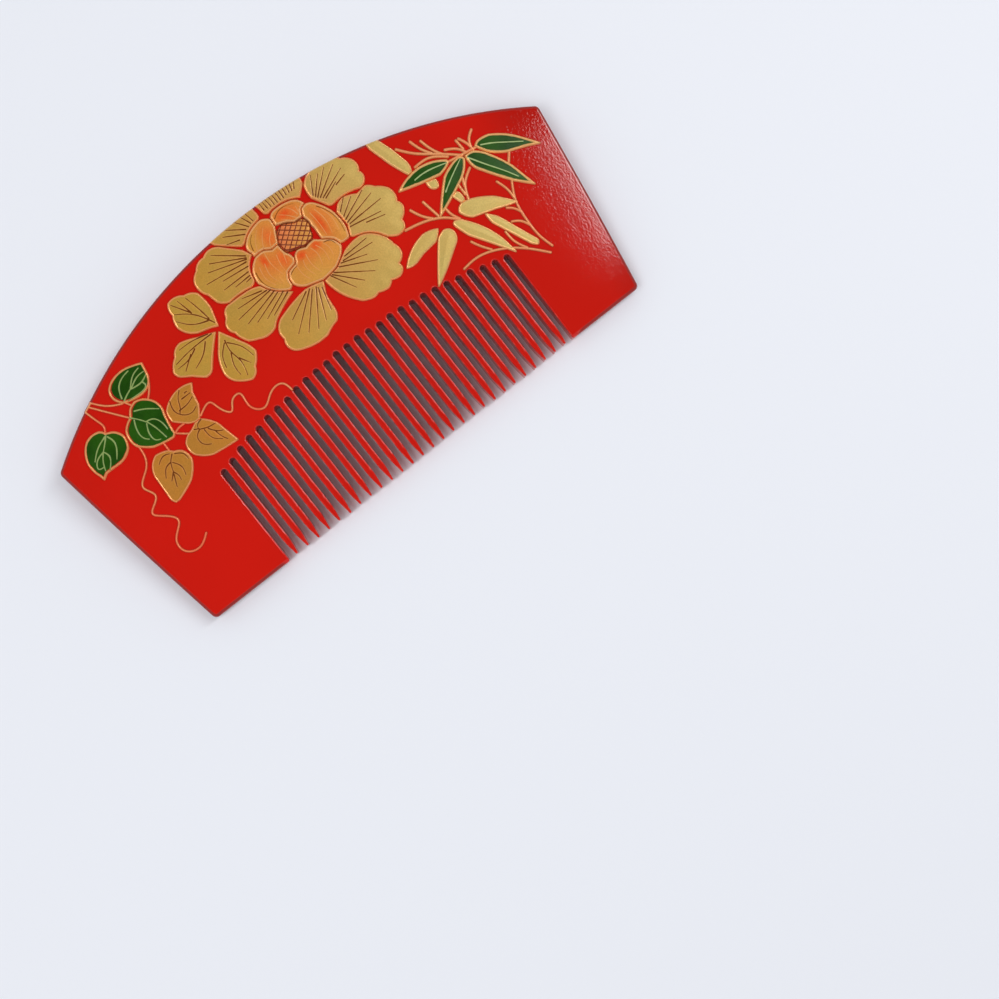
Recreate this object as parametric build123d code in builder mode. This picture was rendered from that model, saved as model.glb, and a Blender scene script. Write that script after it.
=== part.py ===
"""Kushi comb: a lacquered wooden comb with a raised peony, ivy and bamboo on its front face.

Millimetres, +X along the comb, +Y from the teeth to the spine, +Z out of the decorated face. The comb lies on
its flat back, which is the plane Z = 0, with the middle of its box over the origin. The front face leans: the
board is thick at the spine and thin at the tips of the teeth. Everything on the front face is drawn in that
face's own plane, whose origin is the middle of the line that joins the tips.
"""
import os
from math import atan2, cos, sin

from build123d import *

# Board
SPINE_HEIGHT = 47.1
TOP_WIDTH = 95.0
TOP_CORNER_HEIGHT = 32.6
BOTTOM_WIDTH = 85.3
END_BOW = 0.12
CORNER_ROUND = 0.9
TIP_THICKNESS = 3.0
SPINE_THICKNESS = 6.0
EDGE_ROUND = 0.5

# Teeth
SLOT_COUNT = 28
SLOT_PITCH = 2.075
SLOT_WIDTH = 1.05
SLOT_ROW_MIDDLE = 0.88
ROOT_ARC_RADIUS = 100.0
ROOT_ARC_TOP = (-0.8, 21.65)
TAPER_LENGTH = 4.4
TIP_WIDTH = 0.66
TIP_FLAT = 0.24
TIP_ROUND = 0.3
TIP_BOW = 0.06
THROUGH_DEPTH = 2 * SPINE_THICKNESS

# Raised lacquer
PETAL_HEIGHT = 0.5
LEAF_HEIGHT = 0.42
LINE_HEIGHT = 0.3
RIM_INSET = 0.25
LINE_CLEARANCE = 0.06

LEAN = atan2(SPINE_THICKNESS - TIP_THICKNESS, SPINE_HEIGHT)
DEPTH = SPINE_HEIGHT * cos(LEAN)
FRONT = Plane(
    origin=(0, -DEPTH / 2, TIP_THICKNESS),
    x_dir=(1, 0, 0),
    z_dir=(0, -sin(LEAN), cos(LEAN)),
)

# Outline of each raised piece, anticlockwise, as a closed chain of arcs.
# Columns: x and y of the point where an arc ends, and how far that arc bows outward (0 is a straight edge).
PETALS = {
    "petal_left_upper": [
        (-3.0, 41.3, -0.5), (-3.7, 42.7, 0), (-6.0, 45.0, 0), (-9.1, 45.4, 0.6), (-11.3, 44.4, 0.35),
        (-12.5, 43.4, 0.1), (-12.1, 40.5, 0.45), (-11.7, 38.8, 0), (-10.2, 37.6, 0.15), (-6.1, 37.45, -0.15),
        (-5.1, 38.0, 0.15),
    ],
    "petal_left_lower": [
        (-5.0, 36.6, -0.4), (-7.5, 37.25, 0.15), (-10.3, 37.3, 0.05), (-12.1, 36.2, 0.35), (-12.3, 35.5, 0),
        (-12.4, 33.0, 0.75), (-11.6, 31.1, 0.15), (-9.6, 30.1, 0), (-7.0, 30.5, 0.45), (-1.5, 32.9, -0.1),
    ],
    "petal_top_left": [
        (-7.0, 47.6, 0), (-6.5, 46.0, 0.05), (-3.5, 43.45, 0.05), (-2.8, 43.4, 0.1), (1.3, 45.1, -0.25),
        (1.6, 45.7, 0.1), (1.3, 47.6, 0.05),
    ],
    "petal_top_middle": [
        (2.2, 47.6, 0), (2.6, 45.3, 0), (3.2, 44.9, 0.1), (8.6, 43.9, -0.55), (10.2, 45.3, 0), (10.3, 47.2, 0.1),
    ],
    "petal_top_right": [
        (10.3, 44.9, 0.15), (10.0, 42.6, 0.15), (11.4, 40.2, 0), (12.2, 39.9, 0.1), (17.0, 39.3, -0.35),
        (18.5, 40.4, 0.35), (18.8, 43.3, 0.2), (17.3, 44.7, 0.1), (16.2, 46.2, 0), (12.9, 47.2, 0),
        (12.2, 46.0, 0),
    ],
    "petal_right": [
        (11.8, 38.5, 0), (12.0, 36.0, 0), (11.2, 34.3, 0), (11.6, 33.95, 0.05), (15.3, 31.2, -0.45),
        (17.0, 29.95, 0.1), (18.9, 30.4, 0.3), (19.65, 31.8, 0), (20.4, 34.5, 0.6), (20.5, 36.85, 0.45),
        (17.0, 39.0, 0.3), (16.0, 38.8, 0), (14.0, 39.65, 0.1), (12.6, 39.3, 0.1),
    ],
    "petal_bottom_right": [
        (3.7, 31.1, 0), (6.0, 25.7, 0.5), (8.9, 24.5, 0.3), (12.0, 24.9, 0.4), (14.5, 26.0, 0.65),
        (15.8, 29.5, 0.7), (12.9, 33.35, 0.55), (9.0, 32.9, 0.2), (6.5, 31.5, 0),
    ],
    "petal_bottom_left": [
        (0.3, 31.9, 0.1), (-5.0, 30.7, 0.25), (-7.1, 28.9, 0.3), (-7.1, 27.2, 0.05), (-6.6, 25.4, 0.35),
        (-4.0, 24.5, 0), (-0.9, 24.4, 0.3), (1.2, 25.3, -0.15), (2.1, 26.8, 0.2), (2.5, 29.5, -0.05),
        (3.3, 31.2, 0),
    ],
    "heart_upper_left": [
        (-2.6, 41.0, 0.05), (-1.0, 40.85, 0.05), (0.1, 40.2, 0), (1.35, 40.4, 0), (2.3, 42.5, 0),
        (2.6, 43.8, 0.15), (1.0, 44.65, 0.15), (-1.5, 44.0, 0.15), (-2.8, 42.2, 0.2),
    ],
    "heart_left": [
        (-1.8, 40.7, 0.05), (-4.6, 38.3, 0.45), (-3.6, 34.8, 0.45), (-1.6, 33.6, 0.15), (-0.8, 34.4, 0.2),
        (-0.2, 35.85, 0), (1.4, 36.2, 0), (1.75, 37.0, 0.1), (1.3, 38.2, 0.1), (1.15, 40.05, 0),
        (0.0, 39.85, 0), (-0.9, 40.5, 0),
    ],
    "heart_bottom": [
        (-0.6, 34.8, 0.05), (0.5, 32.7, 0.3), (3.5, 31.65, 0.15), (6.5, 32.0, 0.15), (8.8, 33.9, 0.2),
        (8.5, 35.4, 0.2), (7.0, 36.4, 0.1), (5.8, 37.35, 0.1), (4.4, 37.05, 0), (3.4, 37.4, 0.05),
        (2.5, 37.2, 0.1), (1.95, 36.25, 0), (0.3, 35.65, 0),
    ],
    "heart_right": [
        (9.2, 34.6, 0), (10.9, 34.5, 0.15), (11.4, 37.2, 0.1), (9.6, 41.7, 0.4), (7.9, 42.25, 0.25),
        (7.35, 40.9, 0.1), (7.65, 38.5, 0), (7.5, 36.7, 0), (8.8, 35.6, 0),
    ],
    "heart_top": [
        (3.2, 42.7, 0.05), (4.8, 42.1, 0), (5.6, 41.4, 0), (6.9, 41.5, 0.1), (7.3, 42.3, 0), (8.35, 42.75, 0),
        (7.2, 44.1, 0.15), (4.5, 44.5, 0.1), (3.3, 43.9, 0.15),
    ],
    "seed_head": [
        (1.5, 39.9, 0), (1.8, 38.4, 0.1), (3.5, 37.85, 0.05), (4.3, 37.5, 0), (5.8, 37.6, 0.05),
        (6.5, 38.6, 0.15), (7.05, 39.7, 0), (6.4, 41.0, 0.25), (5.4, 41.05, 0), (4.0, 41.85, 0),
        (2.3, 41.3, 0.3),
    ],
}
LEAVES = {
    "peony_leaf_upper": [
        (-13.9, 35.8, 0), (-13.1, 38.5, 0), (-13.3, 41.6, 0.15), (-15.2, 42.6, 0.25), (-17.9, 43.1, 0.4),
        (-18.4, 41.3, 0.2), (-19.0, 39.3, 0.15), (-16.9, 36.8, 0.4), (-14.8, 36.2, 0),
    ],
    "peony_leaf_left": [
        (-14.9, 35.2, -0.1), (-17.5, 36.2, 0.05), (-20.2, 37.2, 0.1), (-22.2, 35.9, 0.35), (-23.8, 34.2, 0.15),
        (-23.2, 32.9, 0.2), (-21.8, 32.0, 0), (-20.2, 30.6, 0.05), (-18.6, 31.3, 0.25),
    ],
    "peony_leaf_lower": [
        (-14.4, 34.9, 0), (-16.5, 32.3, 0), (-17.7, 29.3, 0.2), (-16.7, 27.1, 0.3), (-14.8, 26.0, 0.1),
        (-13.3, 27.3, 0.3), (-11.7, 29.2, 0.15), (-12.4, 31.3, 0.1),
    ],
    "ivy_green_top": [
        (-32.9, 35.3, 0.05), (-30.5, 34.6, 0.1), (-28.3, 34.95, 0.15), (-27.2, 36.4, 0.15), (-26.8, 38.4, 0),
        (-28.4, 39.0, 0.05), (-30.8, 39.3, 0.15), (-33.3, 38.2, 0.25), (-33.6, 36.3, 0.25),
    ],
    "ivy_green_left": [
        (-38.0, 33.2, 0), (-38.6, 34.0, 0.1), (-41.0, 33.9, 0.25), (-43.0, 31.0, 0.35), (-42.7, 28.6, 0.15),
        (-42.5, 27.7, 0), (-41.6, 28.25, 0), (-39.0, 28.2, 0), (-36.6, 29.3, 0.25), (-36.0, 31.2, 0.15),
        (-37.1, 32.8, 0.2),
    ],
    "ivy_green_middle": [
        (-33.5, 32.8, 0), (-35.2, 31.6, 0.1), (-35.4, 28.7, 0.35), (-33.4, 27.0, 0.1), (-30.4, 26.35, 0.05),
        (-29.5, 26.9, 0.2), (-29.3, 28.4, -0.05), (-28.75, 30.6, -0.05), (-29.3, 33.1, 0.3),
        (-31.4, 34.35, 0.25), (-32.8, 33.7, 0.1),
    ],
    "ivy_gold_right": [
        (-22.7, 31.25, 0), (-25.4, 31.65, 0.2), (-28.4, 30.15, 0.25), (-28.7, 28.4, 0.1), (-26.8, 26.6, 0.05),
        (-25.9, 26.2, 0), (-25.1, 26.25, 0), (-23.9, 28.0, 0.05), (-23.45, 30.1, 0),
    ],
    "ivy_gold_lower": [
        (-25.0, 25.95, 0.1), (-26.0, 26.0, 0), (-27.3, 25.4, 0), (-29.1, 24.4, 0.2), (-29.1, 22.2, 0.3),
        (-26.8, 20.5, 0.2), (-22.5, 20.0, 0.05), (-23.15, 22.8, 0), (-23.5, 24.1, 0.05),
    ],
    "ivy_gold_left": [
        (-32.0, 25.15, 0), (-34.0, 25.75, 0.1), (-36.1, 23.2, 0.45), (-36.35, 19.2, 0), (-36.0, 18.2, 0.1),
        (-34.8, 18.35, 0.1), (-32.2, 19.4, 0.05), (-30.0, 21.9, 0.2), (-30.3, 23.8, 0.2), (-31.4, 24.5, 0.1),
    ],
    "bamboo_green_upper": [
        (21.5, 35.1, 0.3), (28.3, 33.3, 0.1), (30.4, 33.95, 0.1), (30.5, 34.5, 0.1), (26.2, 36.2, 0.35),
    ],
    "bamboo_green_left": [
        (24.3, 28.1, 0.1), (30.5, 30.7, 0.1), (32.9, 33.0, 0.25), (32.1, 33.7, 0.2), (28.6, 32.6, 0.2),
    ],
    "bamboo_green_lower": [
        (33.3, 33.2, 0.05), (34.0, 29.9, 0.4), (37.0, 25.6, 0.05), (39.4, 23.1, 0), (38.3, 27.5, 0),
        (36.5, 31.1, 0.1), (34.7, 33.1, 0.15),
    ],
    "bamboo_green_right": [
        (35.5, 33.5, 0.05), (36.8, 31.4, 0.1), (39.2, 29.65, 0.1), (44.0, 27.7, -0.1), (41.4, 31.2, 0.05),
        (38.3, 33.65, 0.15), (36.3, 33.95, 0.1),
    ],
    "bamboo_gold_top": [
        (22.2, 45.2, 0), (21.95, 43.2, 0.05), (23.0, 39.6, 0), (24.3, 36.45, 0.05), (25.0, 36.45, 0.1),
        (25.3, 38.0, 0.1), (24.6, 41.0, 0), (23.8, 43.2, 0), (23.2, 45.2, 0),
    ],
    "bamboo_gold_left": [
        (15.1, 24.9, 0.5), (16.8, 24.65, 0.1), (18.5, 25.15, 0), (21.2, 25.45, 0), (22.7, 26.8, 0.1),
        (20.3, 27.5, 0.15),
    ],
    "bamboo_gold_lower_left": [
        (17.3, 19.6, 0.1), (20.5, 21.3, 0.05), (23.6, 23.3, 0), (24.5, 24.9, 0.25), (23.3, 26.05, 0.3),
        (21.9, 25.5, 0.05),
    ],
    "bamboo_gold_middle": [
        (25.2, 25.6, 0.1), (26.1, 23.0, 0.05), (29.3, 18.2, 0), (30.4, 16.5, 0), (30.2, 18.1, 0),
        (28.7, 22.6, 0.2), (26.6, 25.6, 0.1), (25.5, 26.1, 0.1),
    ],
    "bamboo_gold_right": [
        (27.1, 26.8, 0.2), (28.4, 24.95, 0.2), (32.3, 23.7, 0), (35.4, 22.6, 0.05), (33.0, 25.4, 0.05),
        (30.2, 27.15, 0.1), (28.2, 27.65, 0.1),
    ],
    "bamboo_gold_lower_right": [
        (30.2, 24.0, 0.05), (30.3, 22.3, 0.05), (33.1, 16.2, 0), (34.0, 15.3, 0.1), (34.3, 16.0, 0.15),
        (32.5, 20.2, 0), (31.4, 22.7, 0.05),
    ],
    "bamboo_bud_upper": [
        (25.8, 33.6, 0), (25.8, 32.7, 0.05), (26.9, 32.0, 0.25), (27.2, 33.2, 0.15),
    ],
    "bamboo_bud_lower": [
        (27.8, 29.3, 0), (28.3, 27.9, 0), (28.9, 27.85, 0.05), (28.95, 29.2, 0.1), (28.6, 29.6, 0.05),
    ],
}

# Raised lines. Columns of each entry: line width, then the strokes, each a list of the points it passes.
LINES = {
    "ivy_stems": (0.38, [
        [(-38.3, 37.6), (-37.7, 35.3), (-37.5, 34.2), (-38.0, 33.2)],
        [(-37.4, 37.9), (-35.5, 35.4), (-33.5, 32.8)],
        [(-36.9, 38.4), (-34.9, 36.25), (-33.0, 35.25)],
        [(-38.3, 37.7), (-36.8, 38.3)],
        [(-29.5, 33.4), (-28.5, 34.4), (-27.4, 36.0)],
        [(-32.6, 35.1), (-32.1, 34.2)],
        [(-31.85, 26.6), (-31.9, 25.1)],
        [(-29.4, 26.7), (-28.5, 27.0), (-27.5, 27.0)],
        [(-29.3, 26.5), (-28.6, 25.9), (-27.7, 25.2)],
    ]),
    "ivy_tendril_left": (0.38, [
        [
            (-35.2, 28.9), (-35.3, 27.2), (-36.4, 25.1), (-38.6, 22.9), (-37.9, 20.9), (-40.0, 19.0),
            (-38.6, 17.4), (-37.5, 15.8), (-39.7, 13.4), (-39.6, 11.2), (-37.6, 10.35), (-35.4, 11.5),
        ],
    ]),
    "ivy_tendril_right": (0.38, [
        [
            (-24.7, 26.4), (-22.3, 27.15), (-21.6, 25.3), (-20.5, 24.0), (-19.3, 25.3), (-17.9, 25.5),
            (-17.8, 23.0), (-16.2, 21.35), (-13.7, 22.65), (-11.6, 22.6), (-11.0, 20.9),
        ],
    ]),
    "bamboo_twigs_upper": (0.46, [
        [(25.2, 40.6), (27.0, 38.5), (30.0, 36.1), (33.0, 33.6)],
        [(27.7, 40.2), (28.5, 38.0), (29.3, 36.8)],
        [(29.1, 39.3), (29.8, 37.0), (30.6, 35.6)],
        [(25.9, 36.6), (28.3, 36.5), (31.0, 34.8)],
        [(31.3, 35.9), (32.9, 34.9), (33.7, 33.8)],
        [(33.6, 36.0), (33.7, 34.3)],
        [(34.1, 36.0), (34.8, 34.3), (34.9, 33.2)],
        [(36.6, 35.9), (35.3, 34.8), (34.9, 33.8)],
        [(30.6, 34.1), (35.6, 33.3)],
        [(39.4, 29.7), (38.2, 28.3)],
    ]),
    "bamboo_twigs_middle": (0.46, [
        [(21.1, 31.7), (22.2, 29.6), (23.1, 28.6)],
        [(23.5, 31.5), (24.1, 28.3)],
        [(18.55, 29.7), (22.0, 28.9), (25.0, 27.3), (26.7, 25.5)],
        [(25.7, 28.6), (25.8, 27.6), (26.5, 26.0)],
        [(32.7, 31.3), (30.6, 29.8), (29.5, 27.5)],
        [(30.9, 31.0), (30.3, 29.6)],
        [(29.6, 30.2), (29.6, 28.4)],
    ]),
    "bamboo_twigs_lower": (0.4, [
        [(25.7, 22.0), (26.5, 20.5), (27.5, 19.1)],
        [(22.2, 19.3), (24.4, 19.5), (28.2, 18.5), (32.2, 15.7), (34.7, 13.0)],
        [(31.0, 19.9), (31.2, 18.0), (32.2, 15.9)],
        [(34.8, 27.0), (35.4, 25.0), (35.4, 23.1)],
        [(36.8, 25.7), (35.4, 23.0), (34.85, 19.0), (34.9, 16.5), (35.6, 13.7)],
        [(33.5, 22.8), (34.4, 22.0), (35.0, 20.8)],
        [(32.8, 20.6), (34.0, 19.8), (34.8, 18.4)],
    ]),
}


def outline_face(rows):
    """Fill the closed chain of arcs that the rows give, inside the sketch that calls it."""
    with BuildLine() as outline:
        for (x0, y0, _), (x1, y1, bow) in zip(rows[-1:] + rows[:-1], rows):
            if bow:
                SagittaArc((x0, y0), (x1, y1), -bow)
            else:
                Line((x0, y0), (x1, y1))
    make_face(outline.edges())


def board_face():
    """Fill the comb's outline without its slots: straight foot, leaning ends, one arc for the spine."""
    with BuildLine() as outline:
        Line((-BOTTOM_WIDTH / 2, 0), (BOTTOM_WIDTH / 2, 0))
        SagittaArc((BOTTOM_WIDTH / 2, 0), (TOP_WIDTH / 2, TOP_CORNER_HEIGHT), -END_BOW)
        ThreePointArc(
            (TOP_WIDTH / 2, TOP_CORNER_HEIGHT), (0, SPINE_HEIGHT), (-TOP_WIDTH / 2, TOP_CORNER_HEIGHT)
        )
        SagittaArc((-TOP_WIDTH / 2, TOP_CORNER_HEIGHT), (-BOTTOM_WIDTH / 2, 0), -END_BOW)
    make_face(outline.edges())


def slot_root(x):
    """Height at which a slot ends: a flat arc over the whole row."""
    middle, top = ROOT_ARC_TOP
    return top - ROOT_ARC_RADIUS + (ROOT_ARC_RADIUS**2 - (x - middle) ** 2) ** 0.5


def slot_face(x, tooth_left, tooth_right):
    """Fill one slot: round root, straight sides, and a mouth that opens where the tooth beside it tapers."""
    half = SLOT_WIDTH / 2
    root = slot_root(x)

    def mouth(side, is_tooth):
        if is_tooth:
            return [
                (x + side * (SLOT_PITCH - TIP_FLAT) / 2, 0),
                (x + side * (SLOT_PITCH - TIP_WIDTH) / 2, TIP_ROUND),
                (x + side * half, TAPER_LENGTH),
            ]
        return [
            (x + side * (half + TIP_ROUND), 0),
            (x + side * half, TIP_ROUND),
            (x + side * half, TAPER_LENGTH),
        ]

    left = mouth(-1, tooth_left)
    right = mouth(1, tooth_right)
    with BuildLine() as outline:
        Polyline(left[0], (left[0][0], -EDGE_ROUND), (right[0][0], -EDGE_ROUND), right[0])
        SagittaArc(right[0], right[1], TIP_BOW)
        Polyline(right[1], right[2], (x + half, root - half))
        ThreePointArc((x + half, root - half), (x, root), (x - half, root - half))
        Polyline((x - half, root - half), left[2], left[1])
        SagittaArc(left[1], left[0], TIP_BOW)
    make_face(outline.edges())


def save(piece, name):
    """Label a finished piece and write it as its own file."""
    piece.label = name
    export_step(piece, f"parts/{name}.step")


os.makedirs("parts", exist_ok=True)

# Comb body: one board, thick at the spine, with every edge rounded before the slots are sawn
with BuildPart() as comb_body:
    with BuildSketch(FRONT) as board:
        board_face()
        fillet(board.vertices(), CORNER_ROUND)
    extrude(amount=-THROUGH_DEPTH, dir=(0, 0, 1))
    split(bisect_by=Plane.XY, keep=Keep.TOP)
    back = comb_body.faces().sort_by(Axis.Z)[0]
    front = comb_body.faces().sort_by(Axis(FRONT.origin, FRONT.z_dir))[-1]
    fillet(back.edges() + front.edges(), EDGE_ROUND)
    with BuildSketch(FRONT) as slots:
        for index in range(SLOT_COUNT):
            slot_x = SLOT_ROW_MIDDLE + (index - (SLOT_COUNT - 1) / 2) * SLOT_PITCH
            slot_face(slot_x, tooth_left=index > 0, tooth_right=index < SLOT_COUNT - 1)
    extrude(amount=-THROUGH_DEPTH, dir=(0, 0, 1), mode=Mode.SUBTRACT)
save(comb_body.part, "comb_body")

# Raised petals and leaves: flat-topped plates seated on the front face, trimmed just inside the rounded edge
with BuildSketch() as face_limit:
    board_face()
    offset(amount=-RIM_INSET)
for outlines, height in ((PETALS, PETAL_HEIGHT), (LEAVES, LEAF_HEIGHT)):
    for name, rows in outlines.items():
        with BuildPart() as raised:
            with BuildSketch(FRONT):
                outline_face(rows)
                add(face_limit.sketch, mode=Mode.INTERSECT)
            extrude(amount=height)
        save(raised.part, name)

# Raised lines: ribbons of even width that stop short of every leaf they run up to
with BuildSketch() as leaf_cover:
    for rows in LEAVES.values():
        outline_face(rows)
    offset(amount=LINE_CLEARANCE)
for name, (width, strokes) in LINES.items():
    with BuildPart() as line:
        with BuildSketch(FRONT):
            for points in strokes:
                with BuildLine():
                    if len(points) > 2:
                        Spline(*points)
                    else:
                        Line(*points)
                trace(line_width=width)
            add(leaf_cover.sketch, mode=Mode.SUBTRACT)
        extrude(amount=LINE_HEIGHT)
    save(line.part, name)
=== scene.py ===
"""Kushi comb: a red lacquered comb with a raised gold and green flower, lying on a pale floor.

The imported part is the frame. Drawings on the front face are given in millimetres in that face's own plane: x
along the comb, y from the tips of the teeth to the spine, height out of the face.
"""

import bmesh
import bpy
import numpy as np
from mathutils import Matrix, Vector


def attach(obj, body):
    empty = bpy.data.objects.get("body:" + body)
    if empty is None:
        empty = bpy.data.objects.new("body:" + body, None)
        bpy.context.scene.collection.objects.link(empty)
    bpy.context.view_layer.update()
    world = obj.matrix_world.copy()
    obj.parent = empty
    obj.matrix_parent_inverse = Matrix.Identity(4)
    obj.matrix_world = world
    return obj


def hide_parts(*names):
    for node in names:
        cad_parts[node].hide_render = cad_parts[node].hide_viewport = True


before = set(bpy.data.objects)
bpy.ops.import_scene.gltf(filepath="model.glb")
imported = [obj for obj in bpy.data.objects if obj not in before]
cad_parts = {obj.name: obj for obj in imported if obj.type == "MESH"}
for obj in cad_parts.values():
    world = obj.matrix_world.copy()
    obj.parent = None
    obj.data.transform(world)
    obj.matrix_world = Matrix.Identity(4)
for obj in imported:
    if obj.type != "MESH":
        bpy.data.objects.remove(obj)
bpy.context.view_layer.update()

# Comb body. One board of close-grained wood, thick at the spine and thin at the teeth. The teeth are sawn
# with a fine blade, thinned by hand towards their tips, and the whole is coated in red lacquer, which rounds
# every edge.
MM = 0.001
SPINE_HEIGHT = 47.1
TOP_WIDTH = 95.0
TOP_CORNER_HEIGHT = 32.6
BOTTOM_WIDTH = 85.3
END_BOW = 0.12
CORNER_ROUND = 0.9
TIP_THICKNESS = 3.0
SPINE_THICKNESS = 6.0
EDGE_ROUND = 0.6
SLOT_COUNT = 28
SLOT_PITCH = 2.075
SLOT_WIDTH = 1.07
SLOT_ROW_MIDDLE = 0.98
SLOT_DRIFT = 0.34
ROOT_ARC_RADIUS = 100.0
ROOT_ARC_TOP = (-0.8, 21.65)
TAPER_LENGTH = 3.6
TAPER_POWER = 1.8
TIP_WIDTH = 0.46
TIP_FLAT = 0.14
TIP_ROUND = 0.6
SAWN_ROUND = 0.18
TIP_EDGE_ROUND = 0.16
PLATE_CORNER = 0.3
RIM_STEP = 1.0
SHARP_TURN = 0.3
CORNER_CLEAR = 1.3
CORNER_POINTS = 9
EDGE_POINTS = 7
PLATE_POINTS = 6
ROOT_POINTS = 13
TAPER_POINTS = 10
SIDE_POINTS = 5
TOOTH_SHORTER = 0.2
TOOTH_SLIMMER = 0.9
TOOTH_WIDER = 1.06
SIDE_SWAY = 0.04
ROOT_SHORTER = 0.35

LEAN = np.arctan2(SPINE_THICKNESS - TIP_THICKNESS, SPINE_HEIGHT)
DEPTH = SPINE_HEIGHT * np.cos(LEAN)
SPINE_BOW = SPINE_HEIGHT - TOP_CORNER_HEIGHT
SPINE_RADIUS = (TOP_WIDTH**2 / 4 + SPINE_BOW**2) / (2 * SPINE_BOW)
SPINE_CENTRE = np.array([0.0, SPINE_HEIGHT - SPINE_RADIUS])


def on_front(x, y, height):
    """Metres of a spot on the front face: y and height turned by LEAN about the line joining the tips."""
    return MM * np.stack(
        [
            x,
            y * np.cos(LEAN) - height * np.sin(LEAN) - DEPTH / 2,
            TIP_THICKNESS + y * np.sin(LEAN) + height * np.cos(LEAN),
        ],
        axis=-1,
    )


def arc_outline(rows, step):
    """Anticlockwise chain of circular arcs as points. Columns: x, y, and how far the arc up to it bows out.

    At share u of its chord an arc stands off it by sqrt(R**2 - (L (u - 1/2))**2) - R + bow, with L the chord
    and R = (L**2 / 4 + bow**2) / (2 bow).
    """
    pieces = []
    for (x0, y0, _), (x1, y1, bow) in zip(rows[-1:] + rows[:-1], rows):
        chord = np.array([x1 - x0, y1 - y0])
        length = np.hypot(*chord)
        share = np.linspace(0, 1, int(np.ceil(length / step)) + 1)[:-1]
        stand = np.zeros_like(share)
        if bow:
            radius = (length**2 / 4 + bow**2) / (2 * abs(bow))
            stand = np.sign(bow) * (np.sqrt(radius**2 - (length * (share - 0.5)) ** 2) - radius + abs(bow))
        outward = np.array([chord[1], -chord[0]]) / length
        pieces.append(np.array([x0, y0]) + share[:, None] * chord + stand[:, None] * outward)
    return np.concatenate(pieces)


def rounded_rim():
    """Board outline from the right half of the foot, anticlockwise to its left half, its corners as arcs.

    A corner arc of radius r starts r tan(turn / 2) before the corner. Its middle lies r to the left.
    """
    ring = arc_outline(
        [
            (BOTTOM_WIDTH / 2, 0, 0),
            (TOP_WIDTH / 2, TOP_CORNER_HEIGHT, END_BOW),
            (-TOP_WIDTH / 2, TOP_CORNER_HEIGHT, SPINE_BOW),
            (-BOTTOM_WIDTH / 2, 0, END_BOW),
        ],
        RIM_STEP,
    )
    step = np.roll(ring, -1, axis=0) - ring
    heading = np.unwrap(np.arctan2(step[:, 1], step[:, 0]))
    turn = (heading - np.roll(heading, 1) + np.pi) % (2 * np.pi) - np.pi
    corners = np.flatnonzero(turn > SHARP_TURN)
    keep = np.ones(len(ring), bool)
    arcs = {}
    for corner in corners:
        start = heading[corner] - turn[corner]
        leg = CORNER_ROUND * np.tan(turn[corner] / 2)
        keep &= np.hypot(*(ring - ring[corner]).T) > leg * CORNER_CLEAR
        entry = ring[corner] - leg * np.array([np.cos(start), np.sin(start)])
        middle = entry + CORNER_ROUND * np.array([-np.sin(start), np.cos(start)])
        angle = start - np.pi / 2 + np.linspace(0, turn[corner], CORNER_POINTS)
        arcs[corner] = middle + CORNER_ROUND * np.stack([np.cos(angle), np.sin(angle)], axis=1)
    pieces = []
    for index in range(len(ring)):
        if index in arcs:
            pieces.append(arcs[index])
        elif keep[index]:
            pieces.append(ring[index : index + 1])
    rim = np.concatenate(pieces)
    foot = (np.abs(rim[:, 1]) < 1e-9) & (np.abs(rim[:, 0]) < BOTTOM_WIDTH / 2 - 2 * CORNER_ROUND)
    inner_right = SLOT_ROW_MIDDLE + SLOT_COUNT / 2 * SLOT_PITCH
    inner_left = SLOT_ROW_MIDDLE - SLOT_COUNT / 2 * SLOT_PITCH
    rim = rim[~foot | (rim[:, 0] > inner_right + 1) | (rim[:, 0] < inner_left - 1)]
    first = np.flatnonzero((np.abs(rim[:, 1]) < 1e-9) & (rim[:, 0] > 0))
    first = first[rim[first, 0].argmin()]
    return np.roll(rim, -first, axis=0)


RIM = rounded_rim()
rim_way = np.roll(RIM, -1, axis=0) - np.roll(RIM, 1, axis=0)
rim_way[[0, -1]] = (1.0, 0.0)
RIM_INWARD = np.stack([-rim_way[:, 1], rim_way[:, 0]], axis=1) / np.hypot(*rim_way.T)[:, None]

slot_way = (np.arange(SLOT_COUNT) - (SLOT_COUNT - 1) / 2) / (SLOT_COUNT / 2)
SLOT_MIDDLES = SLOT_ROW_MIDDLE + slot_way * SLOT_PITCH * SLOT_COUNT / 2 - SLOT_DRIFT * slot_way**2
uneven = np.random.default_rng(7)
tooth_short = uneven.uniform(0.0, TOOTH_SHORTER, SLOT_COUNT + 1)
tooth_slim = uneven.uniform(TOOTH_SLIMMER, TOOTH_WIDER, SLOT_COUNT + 1)
side_wave = uneven.uniform(-SIDE_SWAY, SIDE_SWAY, (2, SLOT_COUNT + 1, SIDE_POINTS - 2))
root_short = uneven.uniform(0.0, ROOT_SHORTER, SLOT_COUNT)


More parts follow.
